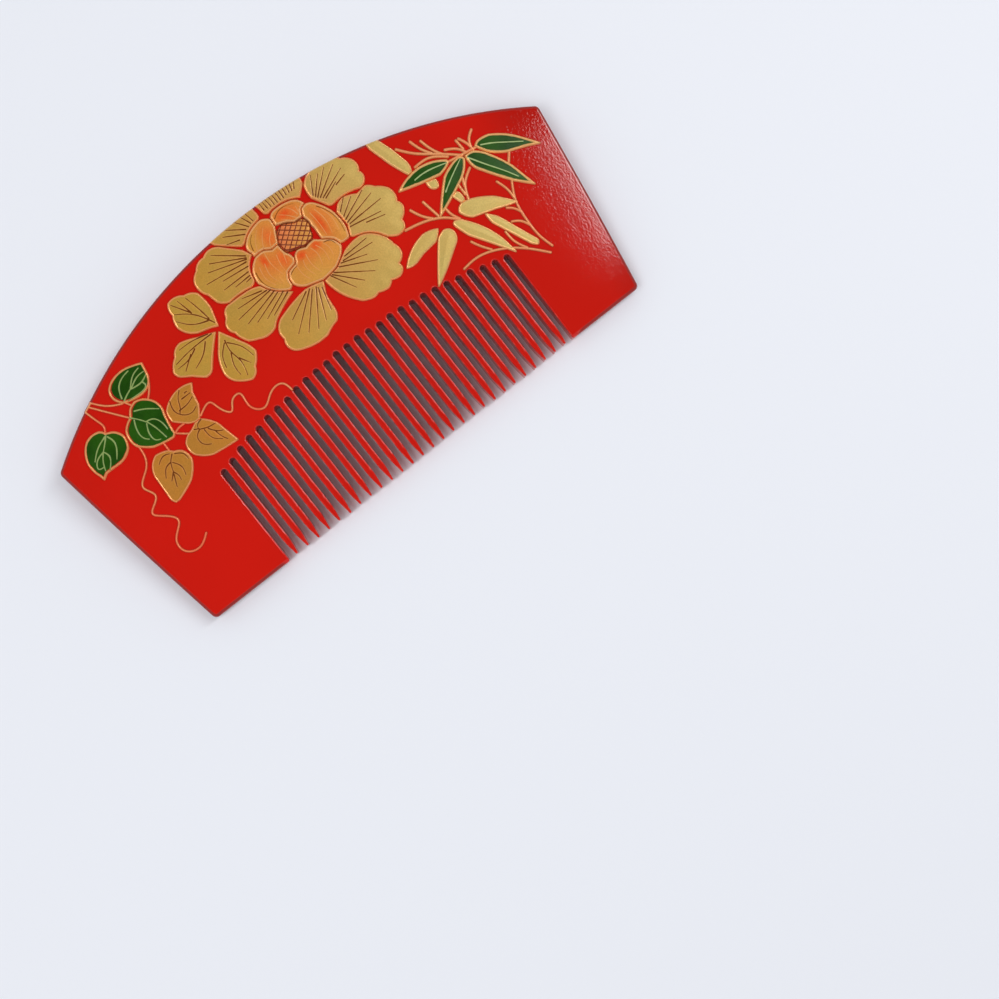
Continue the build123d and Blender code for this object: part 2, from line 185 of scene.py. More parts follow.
def tooth_side(share, tooth):
    """Half a tooth, from its tip's middle up to the straight part, drawn in by a share of its rounding.

    Half width: a quarter ellipse over TIP_ROUND, then from the tip's to the full one as
    1 - (1 - u)**TAPER_POWER up the taper. Returns the gap to the slot's middle, the height and the rounding
    radius.
    """
    pitch = SLOT_MIDDLES[tooth] - SLOT_MIDDLES[tooth - 1]
    full = (pitch - SLOT_WIDTH) / 2
    tip = TIP_WIDTH / 2 * tooth_slim[tooth]
    turn = np.linspace(0, np.pi / 2, EDGE_POINTS)
    rise = np.linspace(0, 1, TAPER_POINTS)[1:]
    flat = TIP_FLAT / 2
    half = np.concatenate(
        [flat * 0, flat + (tip - flat) * np.sin(turn), tip + (full - tip) * (1 - (1 - rise) ** TAPER_POWER)],
        axis=None,
    )
    y = np.concatenate(
        [0, TIP_ROUND * (1 - np.cos(turn)), TIP_ROUND + (TAPER_LENGTH - TIP_ROUND) * rise], axis=None
    )
    radius = SAWN_ROUND + (TIP_EDGE_ROUND - SAWN_ROUND) * np.clip(1 - y / TAPER_LENGTH, 0, 1)
    half = half - share * radius * np.clip(half / tip, 0, 1)
    y = y + share * radius * np.clip(1 - y / TIP_ROUND, 0, 1) + tooth_short[tooth] * (1 - y / TAPER_LENGTH)
    return pitch / 2 - half, y, radius


def plate_side(share):
    """Edge of an end plate beside a slot: the foot, a small corner, then straight up.

    Returns as tooth_side does.
    """
    turn = np.linspace(0, np.pi / 2, PLATE_POINTS)
    half_slot = SLOT_WIDTH / 2
    gap = np.concatenate([2 * PLATE_CORNER, PLATE_CORNER * (1 - np.sin(turn)), np.zeros(5)], axis=None)
    y = np.concatenate([0, PLATE_CORNER * (1 - np.cos(turn)), np.linspace(0.5, TAPER_LENGTH, 5)], axis=None)
    foot = np.clip(1 - y, 0, 1) ** 2
    radius = EDGE_ROUND * foot + SAWN_ROUND * (1 - foot)
    gap_in = share * SAWN_ROUND * np.clip(1 - gap / (2 * PLATE_CORNER), 0, 1)
    return half_slot + gap + gap_in, y + share * EDGE_ROUND * foot, radius


def silhouette(share):
    """Outline of the comb, anticlockwise, drawn in by a share of its rounding. Columns: x, y, radius, sawn.

    Slot after slot: up one side, over a half circle, down the other; then round the board's rim, moved in
    along its normal.
    """
    pieces = []
    for slot in range(SLOT_COUNT):
        middle = SLOT_MIDDLES[slot]
        arc_x, arc_top = ROOT_ARC_TOP
        root = arc_top - ROOT_ARC_RADIUS + np.sqrt(ROOT_ARC_RADIUS**2 - (middle - arc_x) ** 2)
        root -= root_short[slot]
        half = SLOT_WIDTH / 2
        turn = np.linspace(0, np.pi, ROOT_POINTS)
        arc = half + share * SAWN_ROUND
        up = plate_side(share) if slot == 0 else tooth_side(share, slot)
        down = plate_side(share) if slot == SLOT_COUNT - 1 else tooth_side(share, slot + 1)
        level = np.linspace(TAPER_LENGTH, root - half, SIDE_POINTS)[1:-1]
        sway_up = side_wave[0, slot] * (slot > 0)
        sway_down = side_wave[1, slot + 1] * (slot < SLOT_COUNT - 1)
        sides = []
        for sign, (gap, y, radius), sway in ((-1, up, sway_up), (1, down, sway_down)):
            x = np.concatenate([gap, half + share * SAWN_ROUND + sway])
            round_off = np.append(radius, level * 0 + SAWN_ROUND)
            sides.append(np.stack([middle + sign * x, np.append(y, level), round_off], axis=1))
        top = np.stack(
            [middle - arc * np.cos(turn), root - half + arc * np.sin(turn), turn * 0 + SAWN_ROUND], axis=1
        )
        down_side = sides[1][::-1]
        if slot < SLOT_COUNT - 1:
            down_side = down_side[:-1]
        pieces += [sides[0], top, down_side]
    sawn = np.concatenate(pieces)
    rim = np.column_stack([RIM + share * EDGE_ROUND * RIM_INWARD, np.full(len(RIM), EDGE_ROUND)])
    kind = np.concatenate([np.ones(len(sawn)), np.zeros(len(RIM))])
    return np.column_stack([np.concatenate([sawn, rim]), kind])


def body_mesh():
    """Closed skin of the comb: rows of the silhouette from the flat back, round its edge, up to the front.

    At angle a of an edge the outline is drawn in by 1 - cos a of its radius and stands radius * (1 - sin a)
    short of the face. Two values are kept: wall rises from the face to the board's walls, and the other,
    sin 2a, is 1 on the middle of every edge, where the lacquer is paler in dashes: partly wear, partly
    painted highlight.
    """
    turn = np.linspace(0, np.pi / 2, EDGE_POINTS)
    loops, levels, walls, wear_and_glint_rows = [], [], [], []
    for angle in turn[::-1]:
        loop = silhouette(1 - np.cos(angle))
        loops.append(loop)
        levels.append(loop[:, 2] * (1 - np.sin(angle)))
        walls.append((1 - loop[:, 3]) * (1 - np.sin(angle)))
        wear_and_glint_rows.append(np.full(len(loop), np.sin(2 * angle)))
    for angle in turn:
        loop = silhouette(1 - np.cos(angle))
        loops.append(loop)
        levels.append(TIP_THICKNESS + loop[:, 1] * np.sin(LEAN) - loop[:, 2] * (1 - np.sin(angle)))
        walls.append((1 - loop[:, 3]) * (np.cos(angle)))
        wear_and_glint_rows.append(np.full(len(loop), np.sin(2 * angle)))
    loops = np.array(loops)
    levels = np.array(levels)
    points = np.stack([loops[..., 0], loops[..., 1] * np.cos(LEAN) - DEPTH / 2, levels], axis=-1)
    rows, count = levels.shape
    along = np.roll(points, -1, axis=1) - np.roll(points, 1, axis=1)
    normal = np.cross(along, np.gradient(points, axis=0))
    normal /= np.maximum(np.linalg.norm(normal, axis=-1, keepdims=True), 1e-9)
    normal[0] = (0, 0, -1)
    normal[-1] = (0, -np.sin(LEAN), np.cos(LEAN))
    index = np.arange(rows * count).reshape(rows, count)
    beside = np.roll(index, -1, axis=1)
    quads = np.stack([index[:-1], beside[:-1], beside[1:], index[1:]], axis=-1).reshape(-1, 4)
    mesh = bpy.data.meshes.new("lacquered_board")
    faces = quads.tolist() + [index[0][::-1].tolist(), index[-1].tolist()]
    mesh.from_pydata((points.reshape(-1, 3) * MM).tolist(), [], faces)
    mesh.polygons.foreach_set("use_smooth", np.ones(len(faces), bool))
    for key, values in (("wall", walls), ("wear_and_glint", wear_and_glint_rows)):
        kept = mesh.attributes.new(key, "FLOAT", "POINT")
        kept.data.foreach_set("value", np.array(values, np.float32).ravel())
    mesh.normals_split_custom_set_from_vertices(normal.reshape(-1, 3).tolist())
    return mesh


def link_nodes(material):
    """Clear a material's tree and return its maker, which adds a node and sets or joins its inputs."""
    material.use_nodes = True
    tree = material.node_tree
    tree.nodes.clear()

    def add(kind, inputs=None, **settings):
        made = tree.nodes.new(kind)
        for key, value in settings.items():
            setattr(made, key, value)
        for key, value in (inputs or {}).items():
            if isinstance(value, bpy.types.NodeSocket):
                tree.links.new(value, made.inputs[key])
            else:
                made.inputs[key].default_value = value
        return made

    return add


def ramp_between(add, value, low, high, out_low=0.0, out_high=1.0):
    """Smooth step of a value between two limits, mapped to two outputs."""
    made = add(
        "ShaderNodeMapRange",
        {"Value": value, "From Min": low, "From Max": high, "To Min": out_low, "To Max": out_high},
        interpolation_type="SMOOTHSTEP",
    )
    return made.outputs["Result"]


def blend_colour(add, share, first, second):
    """Mix of two colours by a share from 0 to 1."""
    made = add("ShaderNodeMix", {0: share, 6: first, 7: second}, data_type="RGBA")
    return made.outputs[2]


VERMILION = (0.60, 0.0112, 0.0056, 1)
VERMILION_DRIFT = (0.54, 0.0102, 0.0050, 1)
VERMILION_END = (0.43, 0.008, 0.004, 1)
# Pale pink of the dashes along the edges: partly wear, partly painted highlight.
RUBBED_AND_GLINT_PINK = (0.72, 0.10, 0.07, 1)
DARK_EDGE_RED = (0.28, 0.010, 0.006, 1)
DEEPER_END = (0.037, 0.045)
SPECKLED_END = (0.026, 0.040)
SPECKLE_STRETCH = (1.0, 0.6, 1.0)


def red_lacquer():
    """Vermilion lacquer with drifts of tone, a faint ripple and a fine speckle, stronger at the right end.

    It is a little deeper at that end, turns dark red over the board's rounded edges and on its walls, and
    is paler pink in short dashes along the edges of the teeth: partly wear, partly a painted highlight
    where the edges catch the light.
    """
    material = bpy.data.materials.new("red_lacquer")
    add = link_nodes(material)
    place = add("ShaderNodeTexCoord").outputs["Object"]
    along = add("ShaderNodeSeparateXYZ", {0: place}).outputs["X"]
    wall = add("ShaderNodeAttribute", attribute_name="wall").outputs["Fac"]
    wear_and_glint = add("ShaderNodeAttribute", attribute_name="wear_and_glint").outputs["Fac"]
    drift = add("ShaderNodeTexNoise", {"Vector": place, "Scale": 40.0, "Detail": 2.0}).outputs["Fac"]
    ripple = add("ShaderNodeTexNoise", {"Vector": place, "Scale": 350.0, "Detail": 2.0}).outputs["Fac"]
    dashes = add("ShaderNodeTexNoise", {"Vector": place, "Scale": 900.0, "Detail": 3.0}).outputs["Fac"]
    stretch = add("ShaderNodeVectorMath", {0: place, 1: SPECKLE_STRETCH}, operation="MULTIPLY")
    stretched = stretch.outputs["Vector"]
    speckle = add("ShaderNodeTexNoise", {"Vector": stretched, "Scale": 3200.0, "Detail": 2.0}).outputs["Fac"]
    red = blend_colour(add, ramp_between(add, drift, 0.3, 0.7), VERMILION, VERMILION_DRIFT)
    red = blend_colour(add, ramp_between(add, along, *DEEPER_END), red, VERMILION_END)
    # Paler dashes on the middle of the edges: partly wear, partly a painted highlight where they catch the
    # light.
    rub_and_glint = add(
        "ShaderNodeMath", {0: ramp_between(add, dashes, 0.5, 0.62), 1: wear_and_glint}, operation="MULTIPLY"
    ).outputs[0]
    red = blend_colour(add, ramp_between(add, rub_and_glint, 0.3, 0.9, 0.0, 0.6), red, RUBBED_AND_GLINT_PINK)
    # Darker red over the board's outer rounded edges and on its walls.
    red = blend_colour(add, ramp_between(add, wall, 0.01, 0.35), red, DARK_EDGE_RED)
    ripple_bump = add("ShaderNodeBump", {"Height": ripple, "Strength": 0.3, "Distance": 0.00001})
    bump = add(
        "ShaderNodeBump",
        {
            "Height": speckle,
            "Strength": ramp_between(add, along, *SPECKLED_END, 0.1, 1.0),
            "Distance": 0.000008,
            "Normal": ripple_bump.outputs["Normal"],
        },
    )
    shader = add(
        "ShaderNodeBsdfPrincipled",
        {
            "Base Color": red,
            "Roughness": ramp_between(add, drift, 0.2, 0.8, 0.05, 0.07),
            "Normal": bump.outputs["Normal"],
            "Specular IOR Level": 0.4,
        },
    )
    add("ShaderNodeOutputMaterial", {"Surface": shader.outputs["BSDF"]})
    return material


comb = bpy.data.objects.new("lacquered_board", body_mesh())
bpy.context.scene.collection.objects.link(comb)
comb.data.materials.append(red_lacquer())
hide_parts("comb_body")
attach(comb, "root")

# Outer petals. Each is built up in layers of lacquer and dusted with gold, a slab with a soft raised rim.
# Fine veins are cut through the gold to the brown below. The upper ones run over the comb's rounded spine.
CELL = 0.075
OUTLINE_STEP = 0.2
SEAT = 0.04
SKIRT = 0.1
SPREAD = 0.12
SPINE_CLEAR = 0.1
SPINE_FADE = 0.35
FAR_OFF = 9.0
HALF_DIAGONAL = 0.71
LEAST_SLOPE = 0.3
LEAST_FADE = 0.16
EDGE_LEAN = 1.6
WALL_LEAN = 0.35
DOME_REACH = 1.5
FIELD_RISE = 0.2
FIELD_START = 0.3
GROOVE_FADE = 0.3
PETALS = {
    "petal_left_upper": [
        (-3.0, 41.3, -0.5), (-3.7, 42.7, 0), (-6.0, 45.0, 0), (-9.1, 45.4, 0.6), (-11.3, 44.4, 0.35),
        (-12.5, 43.4, 0.1), (-12.1, 40.5, 0.45), (-11.7, 38.8, 0), (-10.2, 37.6, 0.15), (-6.1, 37.45, -0.15),
        (-5.1, 38.0, 0.15),
    ],
    "petal_left_lower": [
        (-5.0, 36.6, -0.3), (-7.5, 37.2, 0.15), (-10.3, 37.25, 0.05), (-12.0, 36.2, 0.4), (-12.25, 35.75, 0),
        (-12.45, 33.3, 0.6), (-11.5, 31.0, 0.2), (-10.1, 30.35, 0.05), (-7.0, 30.2, 0.4), (-5.5, 31.3, -0.1),
        (-1.5, 32.9, -0.1),
    ],
    "petal_top_left": [
        (-7.0, 47.6, 0), (-6.5, 46.0, 0.05), (-3.5, 43.45, 0.05), (-2.8, 43.4, 0.1), (1.3, 45.1, -0.25),
        (1.6, 45.7, 0.1), (1.3, 47.6, 0.05),
    ],
    "petal_top_middle": [
        (2.2, 47.6, 0), (2.6, 45.3, 0), (3.2, 44.9, 0.1), (8.6, 43.9, -0.55), (10.2, 45.3, 0),
        (10.3, 47.2, 0.1),
    ],
    "petal_top_right": [
        (10.3, 44.9, 0.15), (10.0, 42.6, 0.15), (11.4, 40.2, 0), (12.2, 39.9, 0.1), (17.0, 39.3, -0.35),
        (18.55, 40.4, 0.3), (18.35, 41.5, 0.15), (18.85, 42.6, 0.15), (18.4, 43.9, 0.15), (17.3, 44.7, 0.1),
        (16.2, 46.2, 0.05), (12.9, 47.2, 0), (12.2, 46.0, 0),
    ],
    "petal_right": [
        (11.8, 38.5, 0), (12.0, 36.0, 0), (11.2, 34.3, 0), (11.6, 33.95, 0.05), (15.3, 31.2, -0.45),
        (17.0, 29.95, 0.1), (18.7, 30.15, 0.2), (19.1, 31.45, 0.15), (20.25, 32.35, 0.1),
        (20.25, 34.15, 0.35), (20.4, 36.7, 0.4), (18.9, 38.05, 0.1), (17.8, 39.05, 0.1), (16.0, 38.8, 0),
        (14.0, 39.65, 0.1), (12.6, 39.3, 0.1),
    ],
    "petal_bottom_right": [
        (3.7, 31.1, 0), (6.0, 25.7, 0.5), (7.2, 24.8, 0.15), (9.2, 24.7, 0.25), (10.9, 24.25, 0.1),
        (12.0, 25.0, 0.1), (13.5, 24.65, 0.1), (14.6, 25.6, 0.2), (14.5, 26.3, 0), (15.8, 27.2, 0.15),
        (15.7, 29.2, 0.25), (15.5, 30.2, 0.1), (15.2, 31.2, 0.1), (14.5, 32.2, 0.1), (12.3, 33.35, 0.25),
        (9.0, 32.9, 0.2), (6.5, 31.5, 0),
    ],
    "petal_bottom_left": [
        (0.3, 31.9, 0.1), (-5.0, 30.8, 0.15), (-7.0, 29.0, 0.35), (-6.95, 27.85, 0.05), (-6.5, 25.3, 0.55),
        (-5.2, 24.75, 0.05), (-1.2, 24.3, 0.25), (1.2, 25.2, -0.1), (2.1, 26.8, 0.2), (2.4, 29.4, -0.05),
        (3.3, 31.2, 0),
    ],
}
HEART = {
    "heart_upper_left": [
        (-2.6, 41.0, 0.05), (-1.0, 40.85, 0.05), (0.1, 40.2, 0), (1.35, 40.2, 0), (2.35, 42.5, 0),
        (2.6, 43.8, 0.15), (1.0, 44.65, 0.15), (-1.5, 44.0, 0.15), (-2.8, 42.2, 0.2),
    ],
    "heart_left": [
        (-1.8, 40.7, 0.05), (-4.6, 38.3, 0.45), (-3.6, 34.8, 0.45), (-1.6, 33.6, 0.15), (-0.8, 34.4, 0.2),
        (-0.2, 35.85, 0), (1.4, 36.2, 0), (1.75, 37.0, 0.1), (1.3, 38.2, 0.1), (1.15, 40.05, 0),
        (0.0, 39.85, 0), (-0.9, 40.5, 0),
    ],
    "heart_bottom": [
        (-0.6, 34.8, 0.05), (0.5, 32.7, 0.3), (3.5, 31.65, 0.15), (6.5, 32.0, 0.15), (8.8, 33.9, 0.2),
        (8.7, 35.2, 0.15), (7.2, 36.35, 0.15), (6.6, 36.7, 0), (4.5, 36.8, 0.5), (2.2, 36.5, 0.7),
        (1.75, 35.9, 0), (0.3, 35.65, 0.05),
    ],
    "heart_right": [
        (9.2, 34.6, 0), (10.9, 34.5, 0.15), (11.4, 37.2, 0.1), (9.6, 41.7, 0.4), (7.9, 42.25, 0.25),
        (7.35, 40.9, 0.1), (7.6, 38.5, 0), (7.5, 36.7, 0), (8.8, 35.6, 0),
    ],
    "heart_top": [
        (3.0, 42.8, 0.05), (4.8, 42.1, 0), (5.6, 41.4, 0), (6.9, 41.5, 0.1), (7.3, 42.3, 0), (8.3, 42.75, 0),
        (7.2, 44.1, 0.15), (4.5, 44.5, 0.1), (3.1, 43.9, 0.2),
    ],
}
SEED_HEAD = [
    (1.5, 39.9, 0), (1.8, 38.4, 0.1), (3.5, 37.85, 0.05), (4.3, 37.5, 0), (5.8, 37.6, 0.05),
    (6.5, 38.6, 0.15), (7.05, 39.7, 0), (6.4, 41.0, 0.25), (5.4, 41.05, 0), (4.0, 41.85, 0),
    (2.3, 41.3, 0.3),
]
PETAL_VEINS = {
    "petal_left_upper": [
        [(-3.8, 41.7), (-8.0, 45.0)], [(-3.9, 41.4), (-9.0, 44.1)], [(-4.0, 41.2), (-10.0, 43.1)],
        [(-4.3, 40.9), (-11.3, 41.8)], [(-4.5, 40.2), (-9.0, 40.7)], [(-5.0, 39.5), (-9.7, 39.5)],
        [(-5.1, 38.9), (-8.0, 38.8)], [(-5.2, 38.5), (-6.2, 38.4)],
    ],
    "petal_left_lower": [
        [(-5.2, 35.9), (-8.4, 36.8)], [(-4.5, 35.5), (-9.8, 35.9)], [(-4.0, 35.2), (-10.8, 34.5)],
        [(-3.7, 34.7), (-10.0, 33.1)], [(-3.4, 34.2), (-8.7, 32.4)], [(-2.6, 33.8), (-7.2, 31.9)],
        [(-2.1, 33.3), (-6.0, 31.7)],
    ],
    "petal_top_left": [
        [(-3.0, 44.2), (-5.0, 44.8)], [(-1.8, 44.4), (-4.8, 46.1)], [(-1.2, 44.9), (-3.8, 46.7)],
        [(-0.6, 45.0), (-2.0, 46.9)], [(0.0, 45.2), (-0.7, 46.9)], [(0.5, 45.3), (0.2, 46.9)],
    ],
    "petal_top_middle": [
        [(2.9, 45.6), (2.9, 46.9)], [(3.5, 45.5), (3.4, 46.9)], [(4.1, 45.4), (4.0, 46.9)],
        [(4.7, 45.3), (4.7, 46.9)], [(5.3, 45.3), (5.3, 46.9)], [(5.9, 45.3), (5.95, 46.9)],
        [(6.5, 45.3), (6.6, 46.9)], [(7.1, 45.4), (7.3, 46.9)], [(7.7, 45.4), (8.0, 46.9)],
        [(8.2, 45.4), (8.7, 46.8)], [(8.7, 45.4), (9.4, 46.6)],
    ],
    "petal_top_right": [
        [(10.4, 42.8), (12.0, 45.5)], [(10.6, 42.4), (13.0, 45.0)], [(10.8, 42.1), (14.4, 45.2)],
        [(11.1, 41.8), (15.8, 44.7)], [(11.4, 41.5), (16.4, 43.5)], [(11.7, 41.2), (14.5, 42.3)],
        [(14.3, 41.9), (16.3, 42.4)],
    ],
    "petal_right": [
        [(12.2, 38.2), (14.0, 39.7)], [(12.2, 37.3), (15.0, 39.1)], [(12.1, 36.7), (17.0, 38.8)],
        [(12.1, 36.2), (17.8, 37.6)], [(12.2, 35.8), (18.5, 36.0)], [(12.0, 35.4), (17.3, 34.4)],
        [(14.4, 34.4), (17.5, 33.6)],
    ],
    "petal_bottom_right": [
        [(8.4, 32.3), (12.9, 32.5)], [(7.8, 31.9), (13.2, 31.4)], [(7.3, 31.8), (11.4, 30.4)],
        [(6.7, 31.5), (12.2, 28.7)], [(5.5, 31.3), (10.8, 27.6)], [(5.1, 31.2), (8.6, 27.4)],
        [(4.8, 31.2), (6.9, 27.3)],
    ],
    "petal_bottom_left": [
        [(0.2, 31.6), (-4.2, 29.4)], [(0.9, 31.6), (-4.8, 27.1)], [(1.2, 31.3), (-3.4, 26.3)],
        [(1.9, 31.2), (-1.8, 25.8)], [(2.1, 30.9), (0.0, 26.2)], [(2.6, 30.6), (1.6, 27.0)],
    ],
}


def nearest_spot(points, starts, ends):
    """Distance from each point to a set of segments, and the spot, segment and share where it is reached.

    The share along a segment is ((p - a) . (b - a)) / |b - a|**2, held between 0 and 1.
    """
    along = ends - starts
    found = []
    for part in np.array_split(points, len(points) // 3000 + 1):
        share = ((part[:, None] - starts) * along).sum(-1) / (along**2).sum(-1)
        share = np.clip(share, 0, 1)
        spot = starts + share[..., None] * along
        gap = np.hypot(*np.moveaxis(part[:, None] - spot, -1, 0))
        best = gap.argmin(1)
        row = np.arange(len(part))
        found.append((gap[row, best], spot[row, best], best, share[row, best]))
    return [np.concatenate(column) for column in zip(*found)]


def is_inside(points, ring):
    """Even-odd rule: a point is inside where a ray towards +x crosses the ring an odd number of times."""
    start, end = ring, np.roll(ring, -1, axis=0)
    rise = np.where(end[:, 1] == start[:, 1], 1.0, end[:, 1] - start[:, 1])
    crossing = start[:, 0] + (points[:, 1:] - start[:, 1]) * (end[:, 0] - start[:, 0]) / rise
    spans = (start[:, 1] > points[:, 1:]) != (end[:, 1] > points[:, 1:])
    return (spans & (points[:, :1] < crossing)).sum(1) % 2 == 1


def smooth_line(points, step=0.12):
    """A natural cubic spline through the points, on chord length, as evenly spaced points.

    The second derivatives m solve h0 m0 + 2 (h0 + h1) m1 + h1 m2 = 6 (slope1 - slope0); m is 0 at the ends.
    """
    points = np.array(points, float)
    reach = np.hypot(*np.diff(points, axis=0).T)
    at = np.concatenate([[0], np.cumsum(reach)])
    system = np.eye(len(points))
    right = np.zeros_like(points)
    inner = np.arange(1, len(points) - 1)
    system[inner, inner - 1] = reach[:-1]
    system[inner, inner] = 2 * (reach[:-1] + reach[1:])
    system[inner, inner + 1] = reach[1:]
    slope = np.diff(points, axis=0) / reach[:, None]
    right[inner] = 6 * np.diff(slope, axis=0)
    bend = np.linalg.solve(system, right)
    where = np.linspace(0, at[-1], int(np.ceil(at[-1] / step)) + 1)
    span = np.clip(np.searchsorted(at, where, side="right") - 1, 0, len(reach) - 1)
    h = reach[span][:, None]
    low = (where - at[span])[:, None]
    high = h - low
    return (
        (bend[span] * high**3 + bend[span + 1] * low**3) / (6 * h)
        + (points[span] / h - bend[span] * h / 6) * high
        + (points[span + 1] / h - bend[span + 1] * h / 6) * low
    )


def stroke_field(points, strokes, base, tip):
    """Distance to the nearest brush stroke, as a share of its half width there.

    The half width runs from base at the stroke's start to tip at its end.
    """
    nearest = np.full(len(points), FAR_OFF)
    for stroke in strokes:
        line = smooth_line(stroke)
        gap, _, segment, share = nearest_spot(points, line[:-1], line[1:])
        half = base + (tip - base) * (segment + share) / (len(line) - 1)
        nearest = np.minimum(nearest, gap / half)
    return nearest


def edge_field(points, ring, spread):
    """Signed distance to a closed outline grown by spread, inside positive."""
    gap = nearest_spot(points, ring, np.roll(ring, -1, axis=0))[0]
    return np.where(is_inside(points, ring), gap, -gap) + spread


def fitted_field(points, ring, spread, others, gap):
    """The grown outline, held half of gap short of the line midway to the nearest of its neighbours.

    With own and other as the two signed distances, inside positive: the lower of own + spread and
    (own - other - gap) / 2. Only points near the outline are set against the neighbours.
    """
    own = edge_field(points, ring, 0.0)
    edge = own + spread
    close = np.flatnonzero(np.abs(own) < 4 * spread + 0.2)
    for other in others:
        low, high = other.min(0) - 1, other.max(0) + 1
        near = close[((points[close] > low) & (points[close] < high)).all(1)]
        if len(near):
            held = (own[near] - edge_field(points[near], other, 0.0) - gap) / 2
            edge[near] = np.minimum(edge[near], held)
    return edge


def line_field(points, strokes, half_width):
    """Signed distance to the edge of round-ended lines of even width, inside positive."""
    nearest = np.full(len(points), FAR_OFF)
    for stroke in strokes:
        line = smooth_line(stroke)
        nearest = np.minimum(nearest, nearest_spot(points, line[:-1], line[1:])[0])
    return half_width - nearest


def relief(name, field, low, high, height, marks, cell=CELL):
    """A raised piece on the front face: a height over a square grid, cut to its outline and closed below.

    field gives the signed distance to the outline. Grid points within HALF_DIAGONAL cells of it are moved
    onto it along its slope, by -edge * slope / slope**2, so no cell crosses it, and cells outside are
    dropped. height(points, edge) is the height over the face, and marks gives values kept on the points for
    the finish. The wall below flares out by SKIRT. Near the spine the outline is also cut SPINE_CLEAR inside
    the board, and the piece follows the board's rounded edge down by r - sqrt(r**2 - (r - d)**2) at distance
    d from it.
    """
    low = np.array(low) - 3 * cell
    counts = np.ceil((np.array(high) + 3 * cell - low) / cell).astype(int) + 1
    axes = (low[i] + cell * np.arange(counts[i]) for i in (0, 1))
    grid = np.stack(np.meshgrid(*axes, indexing="ij"), axis=-1)
    points = grid.reshape(-1, 2)
    edge = field(points)
    clear = SPINE_RADIUS - SPINE_CLEAR - np.hypot(*(points - SPINE_CENTRE).T)
    shape_edge = np.minimum(edge, clear)
    slope = np.stack(np.gradient(shape_edge.reshape(counts), cell), axis=-1).reshape(-1, 2)
    steep = np.maximum((slope**2).sum(1), LEAST_SLOPE)[:, None]
    on_edge = np.abs(shape_edge) < HALF_DIAGONAL * cell
    placed = np.where(on_edge[:, None], points - shape_edge[:, None] * slope / steep, points)
    away = -slope / np.sqrt(steep)
    held = np.where(on_edge, 0.0, shape_edge)

    def fall(spine_gap):
        depth = np.clip(EDGE_ROUND - spine_gap - SPINE_CLEAR, 0, EDGE_ROUND)
        return EDGE_ROUND - np.sqrt(EDGE_ROUND**2 - depth**2)

    def rise(spots, distance, spine_gap):
        fade = 1 - np.clip(spine_gap / SPINE_FADE, 0, 1)
        share = np.sqrt(np.maximum(1 - fade**2, LEAST_FADE))
        return height(spots, np.maximum(distance, 0)) * share - fall(spine_gap)

    index = np.arange(len(points)).reshape(counts)
    quads = np.stack([index[:-1, :-1], index[1:, :-1], index[1:, 1:], index[:-1, 1:]], axis=-1)
    quads = quads.reshape(-1, 4)
    corner = held[quads]
    quads = quads[(corner.min(1) >= 0) & (corner.max(1) > 0)]
    used, quads = np.unique(quads, return_inverse=True)
    quads = quads.reshape(-1, 4)
    level = rise(points, edge, clear).reshape(counts)
    climb = np.stack(np.gradient(level, cell), axis=-1).reshape(-1, 2)
    climb = np.where(on_edge[:, None], -away * EDGE_LEAN, climb)[used]
    spots = placed[used]
    at_spine = clear < edge
    kept_edge = np.where(on_edge & ~at_spine, 0.0, edge)[used]
    kept_clear = np.where(on_edge & at_spine, 0.0, clear)[used]
    starts, ends = quads.ravel(), np.roll(quads, -1, axis=1).ravel()
    total = len(used)
    border = ~np.isin(starts * total + ends, ends * total + starts)
    starts, ends = starts[border], ends[border]
    ring, ring_index = np.unique(np.concatenate([starts, ends]), return_inverse=True)
    low_start, low_end = total + ring_index[: len(starts)], total + ring_index[len(starts) :]
    walls = np.stack([ends, starts, low_start, low_end], axis=1)
    side = away[used][ring]
    flare = np.where(at_spine[used][ring], 0.0, SKIRT)
    flat = np.concatenate([spots, spots[ring] + flare[:, None] * side])
    heights = np.concatenate([rise(spots, kept_edge, kept_clear), -SEAT - fall(kept_clear[ring])])
    mesh = bpy.data.meshes.new(name)
    faces = np.concatenate([quads, walls])
    mesh.from_pydata(on_front(flat[:, 0], flat[:, 1], heights).tolist(), [], faces.tolist())
    for key, value in marks(flat, np.concatenate([kept_edge, kept_edge[ring] - SKIRT])).items():
        kept = mesh.attributes.new(key, "FLOAT", "POINT")
        kept.data.foreach_set("value", np.asarray(value, np.float32))
    shell = bmesh.new()
    shell.from_mesh(mesh)
    open_edges = [e for e in shell.edges if e.is_boundary]
    bmesh.ops.triangle_fill(shell, use_beauty=False, use_dissolve=False, edges=open_edges, normal=(0, 0, -1))
    shell.to_mesh(mesh)
    shell.free()
    normal = np.concatenate(
        [np.column_stack([-climb, np.ones(total)]), np.column_stack([side, np.full(len(side), WALL_LEAN)])]
    )
    normal /= np.linalg.norm(normal, axis=1, keepdims=True)
    turned = np.stack(
        [
            normal[:, 0],
            normal[:, 1] * np.cos(LEAN) - normal[:, 2] * np.sin(LEAN),
            normal[:, 1] * np.sin(LEAN) + normal[:, 2] * np.cos(LEAN),
        ],
        axis=1,
    )
    mesh.polygons.foreach_set("use_smooth", np.ones(len(mesh.polygons), bool))
    mesh.normals_split_custom_set_from_vertices(turned.tolist())
    piece = bpy.data.objects.new(name, mesh)
    bpy.context.scene.collection.objects.link(piece)
    return piece


def seat_on_board(piece, node, material):
    """Give a raised piece its finish and let it stand for its node."""
    piece.data.materials.append(material)
    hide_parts(node)
    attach(piece, "root")


def rim_bead(edge, width):
    """Cross-section of a raised rim: half an ellipse of height 1 over the width."""
    return np.sqrt(np.clip(1 - (2 * edge / width - 1) ** 2, 0, 1))


def soft_step(value):
    """3 v**2 - 2 v**3 of a value held between 0 and 1."""
    value = np.clip(value, 0, 1)
    return value**2 * (3 - 2 * value)


